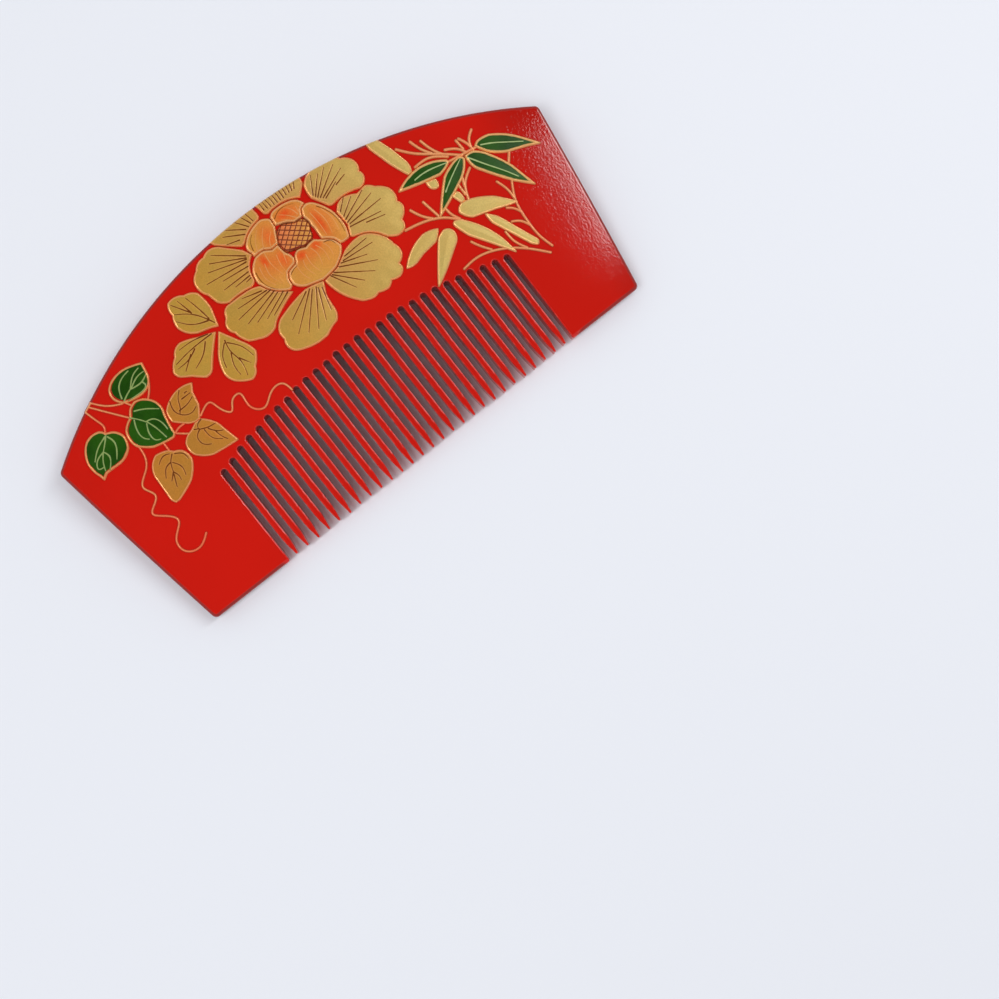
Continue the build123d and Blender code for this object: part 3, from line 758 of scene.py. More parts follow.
def leaf_height(edge, vein, rim_top, rim_width, field, dome, groove):
    """Height of a leaf or petal: the higher of its rim and its gently domed field, less the cut veins.

    Field: field + dome (1 - exp(-(edge / DOME_REACH)**2)). A vein takes groove * exp(-vein**2) away.
    """
    inner = field + dome * (1 - np.exp(-((edge / DOME_REACH) ** 2)))
    inner = inner * soft_step(edge / FIELD_RISE + FIELD_START)
    rim = rim_top * rim_bead(np.minimum(edge, rim_width), rim_width)
    return np.maximum(inner, rim) - groove * np.exp(-(vein**2)) * soft_step(edge / GROOVE_FADE)


# Brown of the cut veins, also used for the painted shade strokes.
CUT_AND_SHADE_BROWN = (0.17, 0.042, 0.003, 1)
# Paler gold for the painted sheen towards the right end.
SHEEN_PALE_GOLD = (0.68, 0.64, 0.27, 1)
# Painted shade at the foot of each raised piece.
FOOT_SHADE_BROWN = (0.14, 0.012, 0.004, 1)
RIM_METAL = 0.7
RIM_ROUGH = 0.34
GOLD_METAL = 0.4
GOLD_ROUGH = 0.42
HEART_METAL = 0.25
GREEN_ROUGH = 0.3
GREEN_COAT = 0.3
SHADE_WIDTHS = (0.07, 0.04)


def raised_finish(name, tones, rim, vein, rim_width, metal, rough, gap=None, lip=0.2, pale=0.0, coat=0.4):
    """Maki-e finish: three tones, a pale rim line, veins, a dark foot and the grain of the gold powder.

    The field drifts from the first tone to the second and turns to the third by the blush mark. Other marks:
    edge in millimetres, vein and shade as shares of a stroke's half width; the shade strokes lay painted
    shade.
    lip tints the two sides of a cut vein with the rim colour, a painted highlight along the cut's edges. gap,
    where given, is a colour that shows between the rim and the field. pale is the share of a paler gold that
    the gold reaches at the right end, a painted sheen of the light from that side. The rim is more metallic
    and smoother than the field. coat is the weight of the clear coat over all. The dark foot is painted shade
    where the piece meets the board.
    """
    material = bpy.data.materials.new(name)
    add = link_nodes(material)
    place = add("ShaderNodeTexCoord").outputs["Object"]
    edge, stroke, blush, inset, shade = (
        add("ShaderNodeAttribute", attribute_name=mark).outputs["Fac"]
        for mark in ("edge", "vein", "blush", "inset", "shade")
    )
    drift = add("ShaderNodeTexNoise", {"Vector": place, "Scale": 190.0, "Detail": 3.0}).outputs["Fac"]
    grain = add("ShaderNodeTexNoise", {"Vector": place, "Scale": 4500.0, "Detail": 2.0}).outputs["Fac"]
    waver = add("ShaderNodeTexNoise", {"Vector": place, "Scale": 1000.0, "Detail": 1.0}).outputs["Fac"]

    def wavered(mark, amount):
        offset = add("ShaderNodeMath", {0: waver, 1: 0.5}, operation="SUBTRACT").outputs[0]
        return add("ShaderNodeMath", {0: offset, 1: amount, 2: mark}, operation="MULTIPLY_ADD").outputs[0]

    body = blend_colour(add, ramp_between(add, drift, 0.35, 0.65), tones[0], tones[1])
    body = blend_colour(add, blush, body, tones[2])
    # Painted sheen: the gold turns paler towards the right end, where the light falls.
    if pale:
        along = add("ShaderNodeSeparateXYZ", {0: place}).outputs["X"]
        body = blend_colour(add, ramp_between(add, along, -0.02, 0.03, 0.0, pale), body, SHEEN_PALE_GOLD)
    dust = ramp_between(add, grain, 0.3, 0.7, 0.93, 1.06)
    dusted = add("ShaderNodeMix", {0: 1.0, 6: body, 7: dust}, data_type="RGBA", blend_type="MULTIPLY")
    body = dusted.outputs[2]
    if gap:
        past_gap = ramp_between(add, wavered(inset, 0.16), rim_width - 0.02, rim_width + 0.05)
        body = blend_colour(add, past_gap, gap, body)
    uneven_stroke = wavered(stroke, 0.9)
    # Painted highlight: both sides of each cut vein are tinted with the rim colour.
    body = blend_colour(add, ramp_between(add, uneven_stroke, 1.2, 3.0, lip, 0.0), body, rim)
    past_rim = ramp_between(add, wavered(edge, 0.12), rim_width - 0.06, rim_width + 0.04)
    colour = blend_colour(add, past_rim, rim, body)
    colour = blend_colour(add, ramp_between(add, uneven_stroke, 0.75, 1.25, 1.0, 0.0), colour, vein)
    # Painted shade: dark strokes in the brown of the cut veins.
    colour = blend_colour(add, ramp_between(add, wavered(shade, 0.9), 0.7, 1.4, 0.9, 0.0), colour, CUT_AND_SHADE_BROWN)
    # Painted shade: the foot of the wall is darkened where the piece meets the board.
    colour = blend_colour(add, ramp_between(add, edge, -SKIRT * 0.55, -0.01), FOOT_SHADE_BROWN, colour)
    bump = add("ShaderNodeBump", {"Height": grain, "Strength": 0.35, "Distance": 0.00003})
    powder = ramp_between(add, edge, rim_width - 0.04, rim_width + 0.04, RIM_METAL, metal)
    above_foot = ramp_between(add, edge, -SKIRT * 0.55, 0.0)
    shader = add(
        "ShaderNodeBsdfPrincipled",
        {
            "Base Color": colour,
            "Metallic": add("ShaderNodeMath", {0: powder, 1: above_foot}, operation="MULTIPLY").outputs[0],
            "Roughness": ramp_between(add, edge, rim_width - 0.04, rim_width + 0.04, RIM_ROUGH, rough),
            "Specular IOR Level": 0.1,
            "Normal": bump.outputs["Normal"],
            "Coat Weight": coat,
            "Coat Roughness": 0.2,
        },
    )
    add("ShaderNodeOutputMaterial", {"Surface": shader.outputs["BSDF"]})
    return material


GOLD = (0.61, 0.325, 0.050, 1)
GOLD_DRIFT = (0.56, 0.325, 0.054, 1)
GOLD_BASE = (0.62, 0.26, 0.050, 1)
GOLD_RIM = (0.92, 0.40, 0.14, 1)
PETAL_RIM_WIDTH = 0.28
PETAL_RIM_TOP = 0.46
VEIN_WIDTHS = (0.11, 0.06)
CLOSE_GAP = 0.1
FLOWER_MIDDLE = (4.0, 38.3)
# The petals' gold is painted paler towards the right end, a painted sheen.
gold_petal = raised_finish(
    "gold_petal", (GOLD, GOLD_DRIFT, GOLD_BASE), GOLD_RIM, CUT_AND_SHADE_BROWN, PETAL_RIM_WIDTH,
    metal=GOLD_METAL, rough=GOLD_ROUGH, pale=0.3,
)


def leaf_piece(
    name, rows, strokes, shape, widths=VEIN_WIDTHS, spread=SPREAD, shift=(0, 0), spots=(), shades=(),
    others=(),
):
    """A petal or leaf from its outline and strokes. shape holds leaf_height's sizes in order.

    Blush: the highest of strength * exp(-(dx/rx)**2 - (dy/ry)**2) over the spots, whose columns are x, y,
    rx, ry and strength. Inset: distance to the outline from a point moved back by shift, where a field was
    brushed off centre. Shade: painted shade, laid as dark strokes. others are the outlines that the piece
    closes up to.
    """
    ring = arc_outline(rows, OUTLINE_STEP)

    def field(points):
        return fitted_field(points, ring, spread, others, CLOSE_GAP)

    def height(points, edge):
        return leaf_height(edge, stroke_field(points, strokes, *widths), *shape)

    def marks(points, edge):
        blush = np.zeros(len(points))
        for x, y, rx, ry, strength in spots:
            spot = strength * np.exp(-(((points[:, 0] - x) / rx) ** 2) - ((points[:, 1] - y) / ry) ** 2)
            blush = np.maximum(blush, spot)
        inset = edge_field(points - np.array(shift), ring, spread) if any(shift) else edge
        return {
            "edge": edge,
            "vein": stroke_field(points, strokes, *widths),
            "blush": blush,
            "inset": inset,
            "shade": stroke_field(points, shades, *SHADE_WIDTHS),
        }

    return relief(name, field, ring.min(0) - spread, ring.max(0) + spread, height, marks)


# Columns of a piece's shape: top of the rim, its width, height of the field, its dome, depth of the veins.
PETAL_FIELD = 0.35
PETAL_DOME = 0.08
VEIN_DEPTH = 0.035
PETAL_SHAPE = (PETAL_RIM_TOP, PETAL_RIM_WIDTH, PETAL_FIELD, PETAL_DOME, VEIN_DEPTH)
PETAL_BASES = [(*FLOWER_MIDDLE, 9.5, 9.5, 1.5)]
flower = {**PETALS, **HEART, "seed_head": SEED_HEAD}
flower_rings = {name: arc_outline(rows, OUTLINE_STEP) for name, rows in flower.items()}


def neighbours(name):
    """Outlines of the rest of the flower."""
    return [ring for other, ring in flower_rings.items() if other != name]


for name, rows in PETALS.items():
    petal = leaf_piece(
        f"gold_{name}", rows, PETAL_VEINS[name], PETAL_SHAPE, spots=PETAL_BASES, others=neighbours(name)
    )
    seat_on_board(petal, name, gold_petal)

# Heart of the flower. Five cupped petals with broad pale rims that close up on each other, brushed orange
# over the gold, with faint pale streaks, and dark strokes of painted shade inside some rims.
HEART_STREAKS = {
    "heart_upper_left": [
        [(0.1, 40.0), (0.6, 41.2), (1.7, 42.3)], [(-0.9, 40.7), (-0.3, 41.9), (1.1, 43.5)],
        [(-1.9, 40.9), (-1.2, 42.5), (0.1, 43.8)],
    ],
    "heart_left": [
        [(-1.2, 40.3), (-1.4, 38.4), (-0.9, 35.9)], [(-2.2, 38.9), (-2.6, 37.1), (-1.8, 34.8)],
        [(0.1, 38.9), (-0.3, 37.1), (-0.3, 35.9)], [(1.1, 38.4), (0.6, 36.9)],
        [(-3.2, 38.9), (-3.5, 37.1), (-2.8, 35.2)],
    ],
    "heart_bottom": [
        [(1.6, 35.9), (1.6, 33.8), (2.1, 32.6)], [(2.9, 35.7), (2.6, 34.6), (3.1, 32.8)],
        [(3.8, 36.2), (3.6, 34.6), (4.1, 32.6)], [(5.0, 36.5), (5.3, 35.5), (4.9, 33.3)],
        [(5.9, 36.4), (6.4, 35.1), (6.2, 33.3)], [(7.05, 36.0), (7.4, 34.8), (7.2, 33.6)],
    ],
    "heart_right": [
        [(8.3, 40.9), (8.45, 38.9), (8.3, 36.6)], [(7.8, 39.9), (7.7, 37.9)],
        [(9.2, 40.9), (9.6, 38.9), (9.2, 36.4)], [(10.1, 40.4), (10.6, 38.4), (10.35, 36.1)],
    ],
    "heart_top": [
        [(6.2, 41.6), (5.4, 42.6), (4.1, 43.7)], [(6.7, 41.9), (6.3, 43.2), (5.4, 44.2)],
        [(5.2, 41.9), (4.1, 42.8)], [(7.05, 42.2), (7.2, 43.2)],
    ],
}
HEART_BLUSH = {
    "heart_upper_left": [(0.9, 41.8, 1.5, 2.4, 0.7)],
    "heart_left": [(-2.0, 39.2, 0.75, 1.5, 1.0), (0.6, 37.8, 1.3, 2.0, 0.8), (-1.4, 38.4, 3.0, 2.2, 0.5)],
    "heart_bottom": [(3.2, 36.5, 1.2, 0.9, 1.0), (5.9, 36.4, 1.1, 0.9, 1.0), (4.2, 36.0, 3.2, 1.5, 0.5)],
    "heart_right": [(8.7, 38.8, 0.8, 2.8, 0.95), (9.1, 39.0, 1.8, 3.2, 0.45)],
    "heart_top": [(5.0, 43.2, 1.7, 1.0, 1.0), (5.6, 42.8, 2.4, 1.6, 0.7)],
}
# Painted shade: dark strokes just inside some of the rims.
HEART_SHADES = {
    "heart_upper_left": [[(-2.3, 41.6), (-1.9, 42.8), (-1.0, 43.7)]],
    "heart_left": [[(-4.15, 38.6), (-4.3, 37.2), (-3.8, 35.6), (-3.0, 34.5)]],
    "heart_bottom": [[(0.0, 35.1), (0.7, 35.45), (1.6, 35.6)], [(7.2, 36.0), (8.2, 35.6), (8.55, 34.8)]],
    "heart_right": [[(9.8, 41.1), (10.8, 39.3), (11.15, 37.3), (10.9, 35.4)]],
    "heart_top": [[(3.4, 43.5), (4.4, 44.05), (5.9, 44.1), (7.2, 43.6)]],
}
HEART_GOLD = (0.69, 0.275, 0.048, 1)
HEART_DRIFT = (0.67, 0.315, 0.058, 1)
HEART_ORANGE = (0.80, 0.095, 0.014, 1)
HEART_RIM = (0.92, 0.45, 0.17, 1)
PALE_STREAK = (0.74, 0.31, 0.10, 1)
HEART_RIM_WIDTH = 0.33
HEART_SPREAD = 0.26
heart_finish = raised_finish(
    "orange_gold_heart", (HEART_GOLD, HEART_DRIFT, HEART_ORANGE), HEART_RIM, PALE_STREAK, HEART_RIM_WIDTH,
    metal=HEART_METAL, rough=GOLD_ROUGH, lip=0.0,
)
STREAK_WIDTHS = (0.07, 0.04)
HEART_SHAPE = (0.48, HEART_RIM_WIDTH, 0.36, PETAL_DOME, 0.0)
for name, rows in HEART.items():
    petal = leaf_piece(
        f"orange_{name}", rows, HEART_STREAKS[name], HEART_SHAPE, STREAK_WIDTHS, spread=HEART_SPREAD,
        spots=HEART_BLUSH[name], shades=HEART_SHADES[name], others=neighbours(name),
    )
    seat_on_board(petal, name, heart_finish)

# Seed head. A low cushion in the middle of the flower, salmon above and gold below, scored with a slanting
# lattice.
LATTICE_PITCH = 0.76
LATTICE_HALF_LINE = 0.08
LATTICE_SLANTS = (np.radians(-39), np.radians(37))
LATTICE_START = (4.1, 39.7)
LATTICE_DEPTH = 0.1
SEED_TOP = 0.44
SEED_ROUND = 0.5
SEED_SPREAD = 0.2
SEED_SHIFT = (0.2, 0.14)
SALMON_START = 35.9
SALMON_FADE = 0.9


def lattice_field(points):
    """Distance to the nearer of two families of parallel lines, as a share of a line's half width.

    Across one family the distance is |((n . (p - start)) + pitch / 2) mod pitch - pitch / 2|.
    """
    offset = points - np.array(LATTICE_START)
    near = np.full(len(points), FAR_OFF)
    for slant in LATTICE_SLANTS:
        across = offset @ np.array([-np.sin(slant), np.cos(slant)])
        gap = np.abs((across + LATTICE_PITCH / 2) % LATTICE_PITCH - LATTICE_PITCH / 2)
        near = np.minimum(near, gap / LATTICE_HALF_LINE)
    return near


def seed_height(points, edge):
    """A cushion with a quarter-round edge, less LATTICE_DEPTH * exp(-lattice**2) away from the edge."""
    cushion = SEED_TOP * np.sqrt(1 - (1 - np.clip(edge / SEED_ROUND, 0.06, 1)) ** 2)
    return cushion - LATTICE_DEPTH * np.exp(-(lattice_field(points) ** 2)) * soft_step(edge / GROOVE_FADE)


def seed_marks(points, edge):
    """Blush: 1 / (1 + exp((x - y + SALMON_START) / SALMON_FADE)), so it rises towards the upper left.

    The field sits a little up and to the right of the outline.
    """
    blush = 1 / (1 + np.exp((points[:, 0] - points[:, 1] + SALMON_START) / SALMON_FADE))
    still = np.full(len(points), FAR_OFF)
    inset = edge_field(points - np.array(SEED_SHIFT), seed_ring, SEED_SPREAD)
    return {"edge": edge, "vein": lattice_field(points), "blush": blush, "inset": inset, "shade": still}


SEED_TONES = ((0.74, 0.31, 0.065, 1), (0.70, 0.31, 0.065, 1), (0.82, 0.22, 0.07, 1))
SEED_RIM = (0.40, 0.10, 0.03, 1)
SEED_RIM_WIDTH = 0.14
LATTICE_BROWN = (0.20, 0.028, 0.005, 1)
SEED_GAP = (0.22, 0.012, 0.006, 1)
seed_ring = flower_rings["seed_head"]
seed_finish = raised_finish(
    "latticed_seed_head", SEED_TONES, SEED_RIM, LATTICE_BROWN, SEED_RIM_WIDTH, metal=0.3, rough=GOLD_ROUGH,
    gap=SEED_GAP,
)
seed_head = relief(
    "seed_cushion",
    lambda points: fitted_field(points, seed_ring, SEED_SPREAD, neighbours("seed_head"), CLOSE_GAP),
    seed_ring.min(0) - SEED_SPREAD, seed_ring.max(0) + SEED_SPREAD, seed_height, seed_marks,
)
seat_on_board(seed_head, "seed_head", seed_finish)

# Peony leaves. Three lobed gold leaves beside the flower, made as the petals are. Each has a forked brown
# vein.
PEONY_LEAVES = {
    "peony_leaf_upper": [
        (-13.9, 35.8, 0), (-13.1, 38.5, 0), (-13.3, 41.6, 0.15), (-15.2, 42.6, 0.25), (-17.9, 43.1, 0.4),
        (-18.4, 41.3, 0.2), (-19.0, 39.3, 0.15), (-16.9, 36.8, 0.4), (-14.8, 36.2, 0),
    ],
    "peony_leaf_left": [
        (-14.9, 35.2, -0.1), (-17.5, 36.2, 0.05), (-20.2, 37.2, 0.1), (-22.2, 35.9, 0.35),
        (-23.8, 34.2, 0.15), (-23.2, 32.9, 0.2), (-21.8, 32.0, 0), (-20.2, 30.6, 0.05), (-18.6, 31.3, 0.25),
    ],
    "peony_leaf_lower": [
        (-14.4, 34.9, 0), (-16.5, 32.3, 0), (-17.7, 29.3, 0.2), (-16.7, 27.1, 0.3), (-14.8, 26.0, 0.1),
        (-13.3, 27.3, 0.3), (-11.7, 29.2, 0.15), (-12.4, 31.3, 0.1),
    ],
}
PEONY_VEINS = {
    "peony_leaf_upper": [
        [(-14.0, 36.5), (-16.0, 39.6), (-18.2, 41.2)], [(-15.9, 39.8), (-17.7, 42.7)],
        [(-15.9, 40.0), (-16.5, 42.6)], [(-14.3, 37.5), (-14.6, 39.5), (-15.2, 42.2)],
        [(-14.6, 37.3), (-16.9, 38.3), (-18.6, 40.2)],
    ],
    "peony_leaf_left": [
        [(-15.5, 35.4), (-20.0, 35.3), (-22.8, 34.9)], [(-16.0, 35.7), (-18.5, 36.3), (-21.0, 36.4)],
        [(-19.0, 35.1), (-20.5, 34.4), (-23.0, 34.2)], [(-20.0, 34.8), (-22.2, 33.2)],
        [(-17.0, 35.0), (-18.5, 33.6), (-20.7, 32.6)],
    ],
    "peony_leaf_lower": [
        [(-14.5, 33.3), (-14.8, 31.3), (-14.5, 29.5), (-15.0, 26.9)],
        [(-14.8, 33.0), (-16.3, 31.5), (-16.9, 29.8)], [(-14.9, 31.2), (-15.8, 29.0), (-15.8, 27.6)],
        [(-14.4, 32.8), (-13.0, 31.0), (-12.4, 28.8)], [(-14.4, 29.8), (-13.4, 28.1)],
    ],
}
LEAF_DOME = 0.07
LEAF_SHAPE = (0.40, PETAL_RIM_WIDTH, 0.31, LEAF_DOME, VEIN_DEPTH)
for name, rows in PEONY_LEAVES.items():
    leaf = leaf_piece(f"gold_{name}", rows, PEONY_VEINS[name], LEAF_SHAPE)
    seat_on_board(leaf, name, gold_petal)

# Ivy. Three gold leaves with brown veins and three green ones, whose fill was brushed a little off the gold
# outline, so a line of red shows between. Their veins are thin raised lines of pale green.
IVY_GOLD = {
    "ivy_gold_right": [
        (-22.7, 31.25, 0), (-25.4, 31.65, 0.2), (-28.4, 30.15, 0.25), (-28.7, 28.4, 0.1),
        (-26.8, 26.6, 0.05), (-25.9, 26.2, 0), (-25.1, 26.25, 0), (-23.9, 28.0, 0.05), (-23.45, 30.1, 0),
    ],
    "ivy_gold_lower": [
        (-25.0, 25.95, 0.1), (-26.0, 26.0, 0), (-27.3, 25.4, 0), (-29.1, 24.4, 0.2), (-29.1, 22.2, 0.3),
        (-26.8, 20.5, 0.2), (-22.5, 20.0, 0.05), (-23.15, 22.8, 0), (-23.5, 24.1, 0.05),
    ],
    "ivy_gold_left": [
        (-32.0, 25.15, 0), (-34.0, 25.75, 0.1), (-36.1, 23.2, 0.45), (-36.35, 19.2, 0), (-36.0, 18.2, 0.1),
        (-34.8, 18.35, 0.1), (-32.2, 19.4, 0.05), (-30.0, 21.9, 0.2), (-30.3, 23.8, 0.2), (-31.4, 24.5, 0.1),
    ],
}
IVY_GREEN = {
    "ivy_green_top": [
        (-32.9, 35.3, 0.05), (-30.5, 34.6, 0.1), (-28.3, 34.95, 0.15), (-27.2, 36.4, 0.15), (-26.8, 38.4, 0),
        (-28.4, 39.0, 0.05), (-30.8, 39.3, 0.15), (-33.3, 38.2, 0.25), (-33.6, 36.3, 0.25),
    ],
    "ivy_green_left": [
        (-38.0, 33.2, 0), (-38.6, 34.0, 0.1), (-41.0, 33.9, 0.25), (-43.0, 31.0, 0.35), (-42.7, 28.6, 0.15),
        (-42.5, 27.7, 0), (-41.6, 28.25, 0), (-39.0, 28.2, 0), (-36.6, 29.3, 0.25), (-36.0, 31.2, 0.15),
        (-37.1, 32.8, 0.2),
    ],
    "ivy_green_middle": [
        (-33.5, 32.8, 0), (-35.2, 31.6, 0.1), (-35.4, 28.7, 0.35), (-33.4, 27.0, 0.1), (-30.4, 26.35, 0.05),
        (-29.5, 26.9, 0.2), (-29.3, 28.4, -0.05), (-28.75, 30.6, -0.05), (-29.3, 33.1, 0.3),
        (-31.4, 34.35, 0.25), (-32.8, 33.7, 0.1),
    ],
}
IVY_SHIFT = {
    "ivy_green_top": (0.22, 0.03),
    "ivy_green_left": (0.05, 0.08),
    "ivy_green_middle": (0.12, -0.12),
}
IVY_VEINS = {
    "ivy_gold_right": [
        [(-24.9, 31.5), (-25.85, 30.5), (-26.4, 29.3), (-27.1, 28.5)],
        [(-25.4, 30.2), (-24.3, 30.2), (-23.8, 30.2)], [(-24.5, 30.7), (-24.0, 30.7)],
        [(-26.8, 29.0), (-25.3, 29.05), (-23.9, 29.5)],
        [(-27.1, 31.0), (-27.45, 29.4), (-26.7, 28.1), (-25.4, 27.6), (-24.3, 28.0)],
    ],
    "ivy_gold_lower": [
        [(-25.0, 25.9), (-26.0, 25.5), (-26.2, 25.1)], [(-26.8, 25.3), (-26.1, 24.9)],
        [(-26.1, 24.8), (-27.1, 24.1), (-27.1, 22.7), (-26.1, 21.9)],
        [(-26.1, 24.8), (-24.9, 24.3), (-23.6, 24.1)], [(-25.6, 24.3), (-25.3, 22.5), (-24.2, 21.5)],
        [(-25.0, 24.1), (-23.9, 22.8), (-23.3, 22.5)], [(-24.4, 23.3), (-23.95, 21.6), (-23.6, 21.0)],
    ],
    "ivy_gold_left": [
        [(-31.9, 24.4), (-32.8, 23.5), (-33.4, 22.1)], [(-32.2, 24.7), (-33.0, 24.95), (-34.5, 24.3)],
        [(-32.8, 23.5), (-33.6, 23.4), (-34.9, 22.0)], [(-32.6, 23.3), (-31.9, 22.0), (-32.2, 20.5)],
        [(-33.4, 22.1), (-34.5, 21.1)], [(-33.4, 22.0), (-33.1, 21.2), (-33.2, 20.4)],
        [(-33.6, 21.7), (-34.4, 19.9)], [(-31.5, 24.2), (-30.4, 23.3), (-30.3, 22.3)],
    ],
    "ivy_green_top": [
        [(-32.6, 35.9), (-31.8, 37.6), (-30.8, 38.3), (-29.2, 38.7)],
        [(-32.5, 35.4), (-31.3, 36.0), (-30.5, 36.3)], [(-30.5, 36.4), (-28.8, 37.8), (-27.7, 38.1)],
        [(-30.4, 36.3), (-28.2, 37.2), (-27.4, 37.2)], [(-30.5, 36.2), (-28.5, 36.1), (-27.4, 36.6)],
        [(-28.5, 36.0), (-28.4, 35.4), (-30.5, 34.9), (-32.0, 35.0)],
    ],
    "ivy_green_left": [
        [(-38.1, 32.9), (-40.5, 31.9), (-41.9, 30.7)], [(-38.1, 32.9), (-39.0, 32.0), (-40.0, 31.1)],
        [(-40.0, 31.1), (-42.0, 30.1), (-42.2, 29.5), (-41.3, 29.2)],
        [(-40.1, 31.0), (-41.0, 29.8), (-41.5, 28.6)], [(-39.9, 31.0), (-39.65, 30.3), (-40.9, 28.3)],
        [(-38.0, 32.6), (-37.7, 31.6), (-39.0, 29.0)],
    ],
    "ivy_green_middle": [
        [(-33.5, 32.8), (-32.6, 31.8), (-31.9, 30.8)], [(-32.3, 33.2), (-31.2, 32.7), (-29.1, 31.2)],
        [(-31.9, 30.8), (-30.8, 30.5), (-30.0, 28.9), (-30.0, 27.9)],
        [(-31.8, 30.7), (-31.4, 29.6), (-30.9, 27.0)],
        [(-32.0, 30.5), (-32.7, 28.5), (-32.4, 27.6), (-31.8, 27.3)],
        [(-33.2, 32.1), (-33.9, 29.8), (-33.6, 28.8), (-33.2, 28.4)],
    ],
}
OCHRE = (0.60, 0.235, 0.034, 1)
OCHRE_DRIFT = (0.55, 0.235, 0.036, 1)
LEAF_GREEN = (0.018, 0.082, 0.003, 1)
LEAF_GREEN_DARK = (0.010, 0.052, 0.002, 1)
PALE_GREEN = (0.25, 0.33, 0.10, 1)
GOLD_LINE = (0.92, 0.38, 0.14, 1)
GAP_RED = (0.40, 0.016, 0.006, 1)
OCHRE_RIM_WIDTH = 0.24
GREEN_RIM_WIDTH = 0.32
OCHRE_VEIN_WIDTHS = (0.10, 0.07)
GREEN_VEIN_WIDTHS = (0.11, 0.08)
RAISED_VEIN = -0.06
ochre_leaf = raised_finish(
    "ochre_ivy", (OCHRE, OCHRE_DRIFT, OCHRE), GOLD_LINE, CUT_AND_SHADE_BROWN, OCHRE_RIM_WIDTH,
    metal=GOLD_METAL, rough=GOLD_ROUGH,
)
green_leaf = raised_finish(
    "green_ivy", (LEAF_GREEN, LEAF_GREEN_DARK, LEAF_GREEN), GOLD_LINE, PALE_GREEN, GREEN_RIM_WIDTH,
    metal=0.0, rough=GREEN_ROUGH, gap=GAP_RED, lip=0.0, coat=GREEN_COAT,
)
OCHRE_SHAPE = (0.38, OCHRE_RIM_WIDTH, 0.31, LEAF_DOME, VEIN_DEPTH)
GREEN_SHAPE = (0.38, GREEN_RIM_WIDTH, 0.25, 0.05, RAISED_VEIN)
for name, rows in IVY_GOLD.items():
    leaf = leaf_piece(f"ochre_{name}", rows, IVY_VEINS[name], OCHRE_SHAPE, OCHRE_VEIN_WIDTHS)
    seat_on_board(leaf, name, ochre_leaf)
for name, rows in IVY_GREEN.items():
    leaf = leaf_piece(
        f"painted_{name}", rows, IVY_VEINS[name], GREEN_SHAPE, GREEN_VEIN_WIDTHS, shift=IVY_SHIFT[name]
    )
    seat_on_board(leaf, name, green_leaf)

# Bamboo leaves. Four green blades inside broad gold outlines, each with a pale midrib, and six gold blades
# and two buds.
BAMBOO_GREEN = {
    "bamboo_green_upper": [
        (21.5, 35.1, 0.3), (28.3, 33.3, 0.1), (30.4, 33.95, 0.1), (30.5, 34.5, 0.1), (26.2, 36.2, 0.35),
    ],
    "bamboo_green_left": [
        (24.3, 28.1, 0.1), (30.5, 30.7, 0.1), (32.9, 33.0, 0.25), (32.1, 33.7, 0.2), (28.6, 32.6, 0.2),
    ],
    "bamboo_green_lower": [
        (33.3, 33.2, 0.05), (34.0, 29.9, 0.4), (37.0, 25.6, 0.05), (39.4, 23.1, 0), (38.3, 27.5, 0),
        (36.5, 31.1, 0.1), (34.7, 33.1, 0.15),
    ],
    "bamboo_green_right": [
        (35.5, 33.5, 0.05), (36.8, 31.4, 0.1), (39.2, 29.65, 0.1), (44.0, 27.7, -0.1), (41.4, 31.2, 0.05),
        (38.3, 33.65, 0.15), (36.3, 33.95, 0.1),
    ],
}
BAMBOO_MIDRIBS = {
    "bamboo_green_upper": [[(24.6, 35.0), (26.0, 35.05), (27.8, 34.8), (30.3, 34.1)]],
    "bamboo_green_left": [[(27.3, 30.6), (28.8, 31.5), (30.3, 32.3), (32.3, 33.3)]],
    "bamboo_green_lower": [[(33.4, 32.8), (35.2, 30.0), (37.2, 27.0), (38.0, 25.6)]],
    "bamboo_green_right": [[(36.3, 33.1), (38.0, 32.2), (39.5, 31.2), (42.0, 29.5)]],
}
